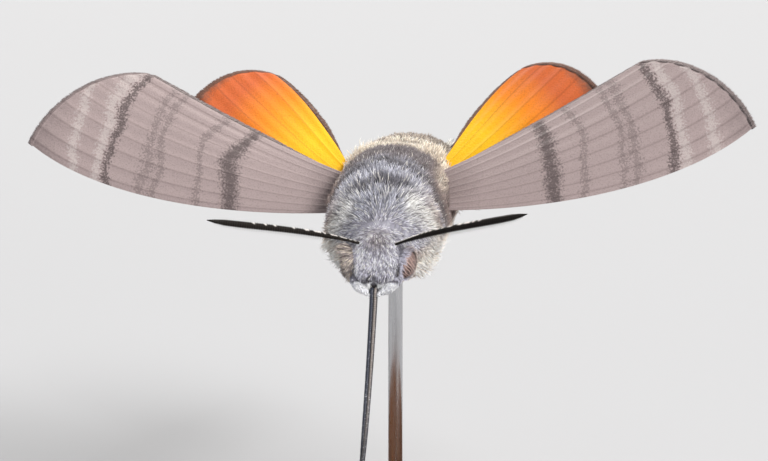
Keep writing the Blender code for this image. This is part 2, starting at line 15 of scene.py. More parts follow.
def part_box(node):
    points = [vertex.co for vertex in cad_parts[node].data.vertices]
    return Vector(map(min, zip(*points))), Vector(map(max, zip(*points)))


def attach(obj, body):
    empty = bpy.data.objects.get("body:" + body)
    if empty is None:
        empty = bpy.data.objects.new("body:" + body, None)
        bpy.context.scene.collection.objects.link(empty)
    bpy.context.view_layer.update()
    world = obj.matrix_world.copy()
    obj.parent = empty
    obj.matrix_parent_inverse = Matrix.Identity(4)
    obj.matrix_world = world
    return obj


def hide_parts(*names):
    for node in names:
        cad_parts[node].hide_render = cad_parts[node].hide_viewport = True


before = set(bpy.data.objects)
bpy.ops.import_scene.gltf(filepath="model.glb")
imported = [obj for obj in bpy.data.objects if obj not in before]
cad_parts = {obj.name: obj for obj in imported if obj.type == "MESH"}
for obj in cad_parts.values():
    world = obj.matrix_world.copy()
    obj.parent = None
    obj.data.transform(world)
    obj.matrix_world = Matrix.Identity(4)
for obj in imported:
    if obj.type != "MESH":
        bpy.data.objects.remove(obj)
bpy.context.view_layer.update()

bl_info = {
    "name": "Hummingbird hawk moth",
    "version": (1, 0, 0),
    "blender": (4, 5, 0),
    "location": "View3D > Sidebar > Hawk moth",
    "description": "Makes the coat, wings, feelers, stand and stage of a display moth",
    "category": "Object",
}

MM = 0.001
BODY_PLACE = np.array([0.0, -2.0, 31.5])
ACROSS = np.array([1.0, 0.0, 0.0])
UP = np.array([0.0, 0.0, 1.0])
SIDES = (("left", 1), ("right", -1))
GOLDEN = (math.sqrt(5) - 1) / 2

# The thorax: place along Y, half width, height over and under its axis, and its roll
THORAX_AXIS_Z = -0.3
THORAX_ROLL = math.radians(8)
THORAX_PROFILE = (
    (-5.3, 3.1, 2.3, 2.5),
    (-4.2, 3.95, 3.4, 3.3),
    (-2.4, 4.25, 4.25, 3.85),
    (0.0, 4.35, 4.5, 4.0),
    (2.4, 4.25, 4.15, 3.85),
    (4.6, 3.95, 3.55, 3.4),
)
THORAX_USED_TO = 4.0

# The skin: the head's rings in degrees from its front, sides, and last rings as (reach, share of width)
HEAD_RING_DEGREES = (9, 20, 32, 45, 58, 71, 84, 97)
SKIN_SIDES = 144
TAIL_RINGS = ((0.4, 0.92), (0.8, 0.76), (1.15, 0.5), (1.35, 0.25))

# The head and what it carries, in the head's own frame
HEAD_CENTRE = (0.0, -6.2, -1.08)
HEAD_HALF_SIZES = np.array([2.5, 2.35, 2.35])
HEAD_TURN_DEGREES = (9, -1.5, -0.5)
EYE_CENTRE = (1.7, -0.752, 0.047)
EYE_HALF_SIZES = np.array([0.85, 1.05, 1.05])
EYE_HAIR_LONGER = {"left": 1.0, "right": 1.6}
EYE_RINGS, EYE_SIDES = 48, 72
CROWN = (0.0, -0.2, 2.5)
PALP_PATH = ((0.95, -1.0, -0.95), (0.95, -2.2, -0.72), (0.86, -2.9, -0.64), (0.45, -3.55, -0.74))
PALP_RADII = (0.4, 0.42, 0.42, 0.34, 0.03)
PALP_HEIGHT = 2.0
PALP_LEAN = math.radians(55)
MUZZLE_REACH = 1.15
MUZZLE_HALF_SIZES = (1.72, 0.95)
MUZZLE_CORNERS_UP = 0.2
MUZZLE_MIDDLE_Z = -0.35
ANTENNA_ROOT = (1.46, -0.987, 1.692)
ANTENNA_LENGTH = 10.3
ANTENNA_FORWARD = math.radians(15)
ANTENNA_RISE = {"left": math.radians(23), "right": math.radians(16.5)}
ANTENNA_ARCH = 0.35
MOUTH_PATH = ((0, -1.2, -1.5), (0, -2.6, -0.8), (0, -3.4, -0.7), (0, -3.85, -1.45))
PROBOSCIS_RUN = 21.5
PROBOSCIS_FORWARD = math.radians(22)
PROBOSCIS_LEAN = math.radians(-2.3)
PROBOSCIS_BOW = np.array([0.25, -0.5, 0.0])

# The abdomen, an arc that droops from the thorax to the tail
ABDOMEN_START = np.array([0.0, 2.6, -0.3])
ABDOMEN_LENGTH = 14.6
ABDOMEN_DROOP = (math.radians(8), math.radians(24))
ABDOMEN_HALF_WIDTH = 4.3
ABDOMEN_FLATNESS = 0.84
ABDOMEN_TAPER = 0.44
ABDOMEN_TAPER_POWER = 3.2
ABDOMEN_WAIST = 0.1
ABDOMEN_USED_FROM = 0.17
SEGMENT_COUNT = 7
SEGMENT_STEP = 0.03
FIRST_SEGMENT_AT = 0.16
TUFT_FLARE_DEGREES = {3: 15, 4: 17, 5: 21, 6: 27}
TUFT_ANGLES = (36, 6, -24)
TUFT_PLACE = 0.35
FAN_SPREAD = math.radians(30)
HINGE_TUFT_REACH = 1.3

# The wings, seen flat: out along the span and back along the chord
STROKE_TILT = math.radians(22)
WING_PITCH = math.radians(31)
WING_RISE = {"left": math.radians(12), "right": math.radians(4)}
HINGE = (4.0, -0.6, -0.1)
HINGE_LEAN = 0.3
FOREWING_EDGES = (
    ((-1.6, 0.4), (7.0, -1.5), (16.6, -1.2), (21.6, 2.1)),
    ((21.6, 2.1), (21.0, 4.7), (18.2, 8.3), (14.4, 8.9)),
    ((-1.6, 3.0), (3.6, 4.3), (9.8, 7.1), (14.4, 8.9)),
)
HINDWING_EDGES = (
    ((-1.6, 0.2), (3.4, -1.9), (9.4, -1.6), (12.3, 1.2)),
    ((12.3, 1.2), (12.5, 4.1), (10.8, 7.7), (7.4, 8.1)),
    ((-0.6, 2.1), (1.4, 3.9), (4.3, 7.2), (7.4, 8.1)),
)
HINDWING_SPREAD = math.radians(9)
HINDWING_BACK = 1.9
HINDWING_BELOW = 1.05
FOREWING_VEINS = (0.05, 0.16, 0.28, 0.40, 0.52, 0.65, 0.79, 0.91)
HINDWING_VEINS = (0.07, 0.22, 0.37, 0.52, 0.67, 0.84)
TIP_BEND = 0.9
CAMBER = 0.5
WASHOUT = 0.10

# The legs, folded back under the body, as points from the hip to the foot
LEG_PATHS = {
    "foreleg": ((0.9, 0.4, -2.9), (1.2, 0.1, -4.65), (1.3, 0.8, -5.0), (1.3, 2.2, -5.05), (1.1, 4.2, -5.0)),
    "midleg": ((1.6, 0.8, -2.8), (2.1, 0.9, -4.2), (2.25, 1.6, -4.6), (2.15, 3.2, -4.85), (1.9, 5.6, -5.1)),
    "hindleg": ((1.9, 2.6, -2.7), (2.4, 2.8, -3.75), (2.7, 3.8, -4.1), (2.65, 6.0, -4.65), (2.2, 9.4, -5.75)),
}

LEG_RADII = (0.3, 0.3, 0.24, 0.2, 0.12, 0.1, 0.09)
LEG_RINGS = 150
LEG_HAIRS = 900
# Spurs and claws of a leg, as (ring that it grows from, length)
SPURS = ((62, 0.8), (64, 0.7), (98, 0.9), (100, 0.75), (147, 0.28), (148, 0.28))

# The coat, as (name, setting for its tufts, from and to along Y, facing, seed, slot)
COATS = (
    ("coat_face", "face_hairs", -20, -5.9, 0, 11, "grey_fur"),
    ("coat_neck", "neck_hairs", -5.9, -3.9, 0, 17, "grey_fur"),
    ("coat_back", "back_hairs", -3.9, 3.4, 1, 23, "grey_fur"),
    ("coat_chest", "chest_hairs", -5.6, 3.4, -1, 29, "pale_fur"),
    ("coat_abdomen", "abdomen_hairs", 3.4, 30, 1, 37, "brown_fur"),
    ("coat_belly", "belly_hairs", 3.4, 30, -1, 41, "brown_fur"),
)
EYE_RIM_HAIRS = 1900
# The skin under the fur is darkened: painted shade under the coat
SKIN_PAINTED_SHADE = 0.55

# Locks of long scales: how many in one, half the spread of their roots, length and half width
TUFT_SCALES = 100
TUFT_SIZES = (0.8, 2.75, 0.055)
FAN_SCALES = 26
FAN_LENGTH = 5.6
# The tail fan's tiers, as (height over its middle, tilt in degrees, number of locks)
FAN_TIERS = ((0.95, 5, 9), (0.5, 3, 11), (0.0, 0, 11), (-0.5, -3, 11), (-0.95, -5, 9))

# The antennae: segments, their rings, thickness as shares of the club's, and the comb's teeth
ANTENNA_SEGMENTS, SEGMENT_RINGS = 66, 6
ANTENNA_PLACES = (-0.05, 0.0, 0.04, 0.09, 0.2, 0.32, 0.55, 0.75, 0.88, 0.95, 1.0)
ANTENNA_SIZES = np.array([0.5, 0.46, 0.46, 0.58, 0.78, 0.88, 0.96, 1.0, 0.9, 0.58, 0.12])
TOOTH_DEGREES = (-65, 0, 65)
TOOTH_LENGTHS = (3.0, 1.6)

# The feeding tube: rings, half thickness along it, turns of its twist, rings to a rib, and bristles
TUBE_RINGS = 1400
TUBE_SIZES = ((0, 0.12, 0.5, 0.94, 1.0), (0.17, 0.155, 0.125, 0.1, 0.03))
TUBE_TURNS = 2.6
RINGS_TO_A_RIB = 7
TUBE_BRISTLES = 110

# Noise of the fur and of the horn, to the metre
FUR_GRAIN = 5200
HORN_GRAIN = 7000

# Fringes of a wing: scales along its outer margin and along its rear edge
MARGIN_SCALES, REAR_SCALES = 880, 760
# How far out the wing ends before its fringe, and how far back the bands' centre lies
WING_END = 0.985
BAND_CENTRE = 2.0
# Bands across the forewings, as (share of the length, half width, tint)
FOREWING_BANDS = (
    (0.35, 0.02, "dark"),
    (0.45, 0.009, "soft"),
    (0.585, 0.009, "soft"),
    (0.62, 0.009, "soft"),
    (0.73, 0.012, "dark"),
    # The pale bands are painted highlights: the blurred gloss of the beating wings
    (0.768, 0.014, "pale"),
    (0.86, 0.013, "pale"),
)

# Colours along the hindwings, as (share of the length, setting)
HINDWING_STOPS = (
    (0.0, "hindwing_base"),
    (0.3, "hindwing_base"),
    (0.58, "hindwing"),
    (0.78, "hindwing_red"),
    (0.88, "hindwing_red"),
    (0.95, "hindwing_edge"),
    (1.0, "hindwing_edge"),
)

# The collar at the foot of the rod, as (radius, height over the base)
COLLAR = ((1.15, 0.005), (1.2, 0.15), (1.1, 0.55), (0.95, 0.7), (0.45, 0.72))

# The lights, as name: place in metres, power in watts, width in metres, colour
LIGHTS = {
    "key": ((0.4, -0.3, 0.5), 5.0, 0.22, (1.0, 0.985, 0.96)),
    "fill": ((0.5, -0.4, 0.16), 1.6, 0.5, (1.0, 0.96, 0.92)),
    "side": ((-0.5, -0.1, 0.2), 0.35, 0.4, (0.86, 0.93, 1.0)),
    "low": ((-0.05, -0.42, 0.05), 0.35, 0.3, (0.98, 0.99, 1.0)),
    "rim": ((-0.12, 0.45, 0.45), 4.5, 0.25, (1.0, 0.97, 0.92)),
}
SKY_COLOUR = (0.97, 0.98, 1.0, 1)
SKY_STRENGTH = 0.33
# The floor, which sweeps up into the backdrop, in metres
FLOOR_RADIUS = 1.8
SWEEP_RADIUS = 0.8
SWEEP_HEIGHT = 3.0
FLOOR_SIDES = 96

# The camera, as the photograph has it
CAMERA_AZIMUTH = math.radians(7.5)
CAMERA_ELEVATION = math.radians(22)
CAMERA_DISTANCE = 0.4
CAMERA_LENS = 273.8
CAMERA_AIM = (-0.534 * MM, -1.54 * MM)


def srgb(red, green, blue):
    """A screen colour of 0 to 255 as linear light: ((c + 0.055) / 1.055) ** 2.4 over its foot."""
    shares = np.array([red, green, blue]) / 255
    linear = np.where(shares > 0.04045, ((shares + 0.055) / 1.055) ** 2.4, shares / 12.92)
    return tuple(float(share) for share in linear)


def size(name, description, millimetres):
    """A length that can be changed, shown in the scene's units."""
    return bpy.props.FloatProperty(
        name=name, description=description, default=millimetres * MM, min=0.0, unit="LENGTH", precision=5
    )


def amount(name, description, default, most=200000):
    """A count that can be changed."""
    return bpy.props.IntProperty(name=name, description=description, default=default, min=1, max=most)


def tint(name, description, red, green, blue):
    """A colour that can be changed, given as screen values of 0 to 255."""
    return bpy.props.FloatVectorProperty(
        name=name, description=description, default=srgb(red, green, blue), subtype="COLOR", min=0.0, max=1.0
    )


class CoatSettings(bpy.types.PropertyGroup):
    """The fur and scales of the body."""

    head_depth: size("Head coat", "How deep the coat of the head is", 0.2)
    thorax_depth: size("Thorax coat", "How deep the coat of the thorax is", 0.32)
    abdomen_depth: size("Abdomen coat", "How deep the coat of the abdomen is", 0.25)
    face_hair: size("Face hair", "Length of the short hairs of the face", 0.42)
    thorax_hair: size("Thorax hair", "Length of the hairs of the thorax", 1.05)
    chest_hair: size("Chest hair", "Length of the woolly hairs under the body", 1.3)
    cheek_hair: size("Cheek hair", "Length of the long wool at the sides of the chest", 1.35)
    abdomen_hair: size("Abdomen hair", "Length of the hairs of the abdomen", 0.9)
    hair_width: size("Hair width", "Half width of one tuft at its widest", 0.033)
    face_hairs: amount("Face hairs", "How many tufts cover the face", 11000)
    neck_hairs: amount("Neck hairs", "How many tufts cover the neck", 8000)
    back_hairs: amount("Back hairs", "How many tufts cover the thorax above", 12400)
    chest_hairs: amount("Chest hairs", "How many tufts cover the chest", 12000)
    abdomen_hairs: amount("Abdomen hairs", "How many tufts cover the abdomen above", 12400)
    belly_hairs: amount("Belly hairs", "How many tufts cover the abdomen below", 7000)
    face: tint("Face", "Grey of the face", 190, 188, 203)
    thorax: tint("Thorax", "Grey of the back", 172, 173, 186)
    flank: tint("Flank", "Brownish grey of the sides", 138, 119, 113)
    # The front band is painted shade in a hollow across the thorax
    band: tint("Band", "Dark bands over the thorax", 70, 66, 74)
    violet: tint("Hind thorax", "Violet grey of the hind thorax", 108, 100, 104)
    chest: tint("Chest", "Cream wool under the body", 226, 212, 198)
    cheek: tint("Cheek", "Pinkish grey beside the face", 208, 192, 186)
    # The cream fringe is partly pale hair tips and partly painted backlight along the abdomen's top edge
    cream: tint("Cream", "Pale fringe of the abdomen", 214, 200, 184)
    abdomen: tint("Abdomen", "Brown grey of the abdomen", 138, 125, 117)
    black: tint("Black", "Black tufts and tail", 38, 34, 32)
    white: tint("White", "White tufts", 240, 236, 228)


class HeadSettings(bpy.types.PropertyGroup):
    """The eyes, the feelers of the mouth, the antennae and the feeding tube."""

    palp_hairs: amount("Palp hairs", "How many tufts cover one palp", 4200)
    # This dark also paints the shadow in the brackets and the slot beside and between the palps
    palp_under: tint("Palp below", "White of the palps below", 246, 247, 255)
    palp_line_and_shadow: tint("Palp line", "Dark line along the palps' outer side", 48, 42, 46)
    eye: tint("Eye", "Brown of the eyes", 186, 158, 150)
    eye_stripe: tint("Eye stripes", "Dark stripes of the eyes", 40, 24, 24)
    antenna: tint("Antenna", "Near black of the antennae", 27, 23, 20)
    # This colour is a painted highlight along the top of the antennae
    antenna_painted_sheen: tint("Antenna scales", "Pale scales along the top of the antennae", 214, 208, 204)
    antenna_club: size("Antenna club", "Half thickness at the thickest place", 0.235)
    tube_slate: tint("Feeding tube", "Slate of the feeding tube", 52, 56, 70)
    tube_pink: tint("Feeding tube stripe", "Pinkish half of the feeding tube", 137, 128, 123)


class WingSettings(bpy.types.PropertyGroup):
    """The wings and their scales."""

    membrane: size("Membrane", "Thickness of a wing between its veins", 0.09)
    vein: size("Vein", "How far a vein stands over each face", 0.05)
    fringe: size("Fringe", "Length of the fringe of the wings", 0.42)
    forewing: tint("Forewing", "Pinkish grey of the forewings", 158, 142, 141)
    # This colour paints the pale bands, which are painted highlights of the beating wings
    forewing_painted_highlight: tint("Forewing pale", "Pale bands of the forewings", 178, 166, 164)
    forewing_dark: tint("Forewing dark", "Dark lines of the forewings", 96, 84, 84)
    hindwing_base: tint("Hindwing base", "Golden yellow of the inner hindwings", 250, 190, 10)
    hindwing: tint("Hindwing", "Orange of the hindwings", 236, 134, 18)
    hindwing_red: tint("Hindwing outer", "Reddish orange of the outer hindwings", 200, 96, 44)
    hindwing_edge: tint("Hindwing border", "Brown border of the hindwings", 112, 74, 58)


class StandSettings(bpy.types.PropertyGroup):
    """The base, the rod and the stage."""

    edge: size("Edge", "Round of the edge of the base", 0.8)
    walnut: tint("Walnut", "Brown of the base", 118, 78, 52)
    walnut_dark: tint("Walnut grain", "Dark grain of the base", 66, 42, 29)
    steel: tint("Steel", "Grey of the rod", 196, 196, 198)
    floor: tint("Floor", "Pale grey of the floor and the backdrop", 176, 177, 180)


Part = namedtuple("Part", "points quads triangles tint uv")


def unit(vectors):
    """Each vector divided by its own length."""
    return vectors / np.maximum(np.linalg.norm(vectors, axis=-1, keepdims=True), 1e-12)


def dot(first, second):
    """The scalar product of vectors, kept as a column."""
    return np.sum(first * second, axis=-1, keepdims=True)


def smooth_step(value, low, high):
    """0 under low, 1 over high, and 3 t t - 2 t t t between."""
    t = np.clip((value - low) / (high - low), 0, 1)
    return t * t * (3 - 2 * t)


def hill(value, centre, half_width):
    """A rounded hill of height 1: exp(-((value - centre) / half width) squared)."""
    return np.exp(-(((value - centre) / half_width) ** 2))


def shaded(first, second, share):
    """The colour at a share of the way from the first to the second."""
    return first + (second - first) * np.asarray(share)[..., None]


def layered(tint, layers):
    """A colour with layers of (colour, share) laid over it in order."""
    for colour, share in layers:
        tint = shaded(tint, colour, share)
    return tint


def colours(settings, *names):
    """Colours of a group of settings, by name."""
    return [np.array(getattr(settings, name)) for name in names]


def mirrored(point, sign):
    """A point of the left side, or with sign -1 its mirror image on the right."""
    return np.array([point[0] * sign, *point[1:]])


def smooth_rows(rows, steps):
    """Rows along a Catmull-Rom curve through the given rows, with steps to each stretch."""
    rows = np.asarray(rows, float)
    ends = np.concatenate([[2 * rows[0] - rows[1]], rows, [2 * rows[-1] - rows[-2]]])
    before, start, end, after = (ends[i : len(ends) - 3 + i][:, None] for i in range(4))
    t = (np.arange(steps) / steps)[None, :, None]
    square = 2 * before - 5 * start + 4 * end - after
    cube = 3 * start - before - 3 * end + after
    curve = 0.5 * (2 * start + (end - before) * t + square * t**2 + cube * t**3)
    return np.concatenate([curve.reshape(-1, rows.shape[1]), rows[-1:]])


def even_path(points, count):
    """Points at equal lengths along the straight lines between the given points."""
    run = np.concatenate([[0], np.cumsum(np.linalg.norm(np.diff(points, axis=0), axis=1))])
    where = np.linspace(0, run[-1], count)
    return np.stack([np.interp(where, run, points[:, k]) for k in range(3)], 1)


def path_frame(path, side):
    """Unit vectors along a path, across it towards side, and square to both."""
    along = unit(np.gradient(path, axis=0))
    side = np.broadcast_to(side, path.shape)
    across = unit(side - along * dot(along, side))
    return along, across, np.cross(along, across)


def rings(centre, across, up, half_width, top, bottom, sides):
    """Oval rings: centre + across * half width * cos a + up * top * sin a, or * bottom where sin a < 0."""
    angle = np.arange(sides) * math.tau / sides
    rise = np.sin(angle)
    height = np.where(rise > 0, top[:, None], bottom[:, None]) * rise
    wide = (half_width[:, None] * np.cos(angle))[..., None]
    return centre[:, None] + across[:, None] * wide + up[:, None] * height[..., None]


def closed_tube(grid, start, end, tints=None, uv=None):
    """A closed body: quads between the rings of a grid, and a fan of triangles to a pole at each end."""
    count, sides = grid.shape[:2]
    row = np.arange(count - 1)[:, None] * sides
    near = np.arange(sides)
    far = (near + 1) % sides
    quads = np.stack([row + near, row + far, row + sides + far, row + sides + near], -1).reshape(-1, 4)
    last = (count - 1) * sides
    pole = np.full(sides, count * sides)
    first_fan = np.stack([pole, far, near], -1)
    last_fan = np.stack([pole + 1, last + near, last + far], -1)
    points = np.concatenate([grid.reshape(-1, 3), [start, end]])
    if tints is not None:
        tints = np.concatenate([tints.reshape(-1, 3), tints[:1].mean(1), tints[-1:].mean(1)])
    if uv is not None:
        uv = np.concatenate([uv.reshape(-1, 2), uv[:1].mean(1), uv[-1:].mean(1)])
    return Part(points, quads, np.concatenate([first_fan, last_fan]), tints, uv)


def capped_tube(grid, tints=None, uv=None):
    """A closed tube whose poles are the middles of its first and last ring."""
    return closed_tube(grid, grid[0].mean(0), grid[-1].mean(0), tints, uv)


def merged(parts):
    """Several closed bodies as one."""
    starts = np.cumsum([0] + [len(part.points) for part in parts[:-1]])
    quads = np.concatenate([part.quads + start for part, start in zip(parts, starts)])
    triangles = np.concatenate([part.triangles + start for part, start in zip(parts, starts)])
    tints = None if parts[0].tint is None else np.concatenate([part.tint for part in parts])
    uv = None if parts[0].uv is None else np.concatenate([part.uv for part in parts])
    return Part(np.concatenate([part.points for part in parts]), quads, triangles, tints, uv)


def turned_out(part):
    """The part with its faces outwards: turned over where the volume under them comes out negative."""
    corners = np.concatenate([part.triangles, part.quads[:, [0, 1, 2]], part.quads[:, [0, 2, 3]]])
    first, second, third = (part.points[corners[:, k]] - part.points[0] for k in range(3))
    if np.sum(first * np.cross(second, third)) >= 0:
        return part
    return part._replace(quads=part.quads[:, ::-1], triangles=part.triangles[:, ::-1])


def make_piece(name, parts, material, replaced=(), map_name="Plan"):
    """One piece of the model from closed bodies, placed in its mesh and carried by the root body."""
    whole = merged([turned_out(part) for part in parts])
    corners = np.concatenate([whole.quads.ravel(), whole.triangles.ravel()]).astype(np.int32)
    sizes = np.concatenate([np.full(len(whole.quads), 4), np.full(len(whole.triangles), 3)])
    starts = np.concatenate([[0], np.cumsum(sizes)[:-1]]).astype(np.int32)
    mesh = bpy.data.meshes.new(name)
    mesh.vertices.add(len(whole.points))
    mesh.vertices.foreach_set("co", ((whole.points + BODY_PLACE) * MM).astype(np.float32).ravel())
    mesh.loops.add(len(corners))
    mesh.loops.foreach_set("vertex_index", corners)
    mesh.polygons.add(len(sizes))
    mesh.polygons.foreach_set("loop_start", starts)
    mesh.polygons.foreach_set("use_smooth", np.full(len(sizes), True))
    mesh.update(calc_edges=True)
    if whole.tint is not None:
        colours = mesh.color_attributes.new("Tint", "FLOAT_COLOR", "POINT")
        filled = np.concatenate([np.clip(whole.tint, 0, 1), np.ones((len(whole.points), 1))], 1)
        colours.data.foreach_set("color", filled.astype(np.float32).ravel())
    if whole.uv is not None:
        layer = mesh.uv_layers.new(name=map_name)
        layer.data.foreach_set("uv", whole.uv[corners].astype(np.float32).ravel())
    if mesh.validate():
        raise RuntimeError(f"{name} has a broken face")
    mesh.materials.append(material)
    piece = bpy.data.objects.new(name, mesh)
    bpy.context.scene.collection.objects.link(piece)
    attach(piece, "root")
    if replaced:
        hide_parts(*replaced)
    return piece


def surface_frame(grid):
    """Unit normals and unit tangents down the length of a grid of rings, from its neighbours."""
    along = np.gradient(grid, axis=0)
    around = np.roll(grid, -1, 1) - np.roll(grid, 1, 1)
    return unit(np.cross(along, around)), unit(along)


def on_grid(grid, row, turn):
    """The value of a grid of rings at a row and a share of a turn, by straight lines between."""
    sides = grid.shape[1]
    low = np.clip(row.astype(int), 0, len(grid) - 2)
    down = (row - low)[:, None]
    place = (turn % 1.0) * sides
    left = place.astype(int) % sides
    right = (left + 1) % sides
    over = (place - np.floor(place))[:, None]
    near = grid[low, left] * (1 - over) + grid[low, right] * over
    far = grid[low + 1, left] * (1 - over) + grid[low + 1, right] * over
    return near * (1 - down) + far * down


Roots = namedtuple("Roots", "point normal along row turn")


def scatter(grid, count, density, rng):
    """Roots over a grid of rings: down it by equal shares of area times density, and round it by the
    golden angle."""
    down = np.linalg.norm(np.gradient(grid, axis=0), axis=-1).mean(1)
    round_it = np.linalg.norm(np.roll(grid, -1, 1) - grid, axis=-1).sum(1)
    weight = np.concatenate([[0], np.cumsum((down * round_it * density)[1:])])
    share = (np.arange(count) + rng.random(count)) / count
    row = np.interp(share * weight[-1], weight, np.arange(len(grid)))
    turn = (np.arange(count) * GOLDEN + rng.normal(0, 0.004, count)) % 1.0
    normals, alongs = surface_frame(grid)
    point, normal, along = (on_grid(field, row, turn) for field in (grid, normals, alongs))
    return Roots(point, unit(normal), unit(along), row / len(grid), turn)


def kept(roots, chosen):
    """The roots that are chosen."""
    return Roots(*(field[chosen] for field in roots))


def turned_away(roots, grid, middle):
    """The roots with their normals pointing away from the middle line of the grid."""
    normals, _ = surface_frame(grid)
    flip = np.sign(np.mean(np.sum(normals * (grid - middle[:, None]), -1)))
    return roots._replace(normal=roots.normal * flip)


def ripple(points, lengths, seed):
    """A smooth field of -1 to 1: the mean of sine waves of those lengths, each in its own direction."""
    rng = np.random.default_rng(seed)
    waves = []
    for step in lengths:
        way = unit(rng.normal(size=3))
        waves.append(np.sin(points @ way * math.tau / step + rng.random() * math.tau))
    return np.mean(waves, axis=0)


# A tuft: share of its length and of its width at each ring before its tip
TUFT_RINGS = ((0.0, 0.8), (0.36, 1.0), (0.74, 0.62))
# Painted light along a tuft, root to tip: painted shade at the root, where the coat would shadow it, and a
# painted highlight at the tip
TUFT_PAINTED_LIGHT = np.array([0.25, 0.68, 1.08, 1.45])
# The palps' painted shade and highlight are milder, with lighter roots
PALP_PAINTED_LIGHT = np.array([0.72, 0.85, 1.0, 1.15])
TUFT_PATCH = 0.003
TUFT_SINK = 0.08


def tufts(roots, lie, length, width, rise, tints, settle=0.45, deep=0.55, painted_light=TUFT_PAINTED_LIGHT):
    """Closed, tapered tufts of three sides, darkened at the root as painted shade and lightened at the tip as
    painted highlight.

    At share s of its length a tuft's middle is root + lie * length * s * cos(rise) + normal * length *
    (sin(rise) * s - settle * sin(rise) * s * s), so it lifts off and then settles along the coat.
    """
    count = len(roots.point)
    lie = unit(lie - roots.normal * dot(lie, roots.normal))
    across = np.cross(lie, roots.normal)
    length, width, rise = (np.broadcast_to(value, count)[:, None] for value in (length, width, rise))
    base = roots.point - roots.normal * TUFT_SINK * length
    rows = []
    for share, swell in (*TUFT_RINGS, (1.0, 0.0)):
        lift = np.sin(rise) * (share - settle * share * share)
        middle = base + (lie * np.cos(rise) * share + roots.normal * lift) * length
        if swell == 0.0:
            rows.append(middle)
            continue
        rows.extend([middle + across * width * swell, middle + roots.normal * width * deep * swell])
        rows.append(middle - across * width * swell)
    points = np.stack(rows, 1)
    quads = [[k + i, k + j, k + 3 + j, k + 3 + i] for k in (0, 3) for i, j in ((0, 1), (1, 2), (2, 0))]
    triangles = [[6 + i, 6 + j, 9] for i, j in ((0, 1), (1, 2), (2, 0))] + [[2, 1, 0]]
    start = (np.arange(count) * 10)[:, None, None]
    # Painted shade at the root of each tuft and a painted highlight at its tip
    shade = np.repeat(painted_light, (3, 3, 3, 1))[None, :, None]
    patch_across = np.array([0, 1, 2] * 3 + [1]) / 2
    patch_down = np.repeat(np.arange(4), (3, 3, 3, 1)) / 3
    patch = np.stack([patch_across, patch_down], 1)[None] * TUFT_PATCH
    place = np.stack([roots.turn, roots.row], 1)[:, None] * (1 - TUFT_PATCH)
    return Part(
        points.reshape(-1, 3),
        (start + np.array(quads)[None]).reshape(-1, 4),
        (start + np.array(triangles)[None]).reshape(-1, 3),
        (tints[:, None] * shade).reshape(-1, 3),
        (place + patch).reshape(-1, 2),
    )


def swung(lie, normal, angle):
    """The lie turned about the normal by an angle."""
    angle = np.asarray(angle)[:, None]
    return lie * np.cos(angle) + np.cross(normal, lie) * np.sin(angle)


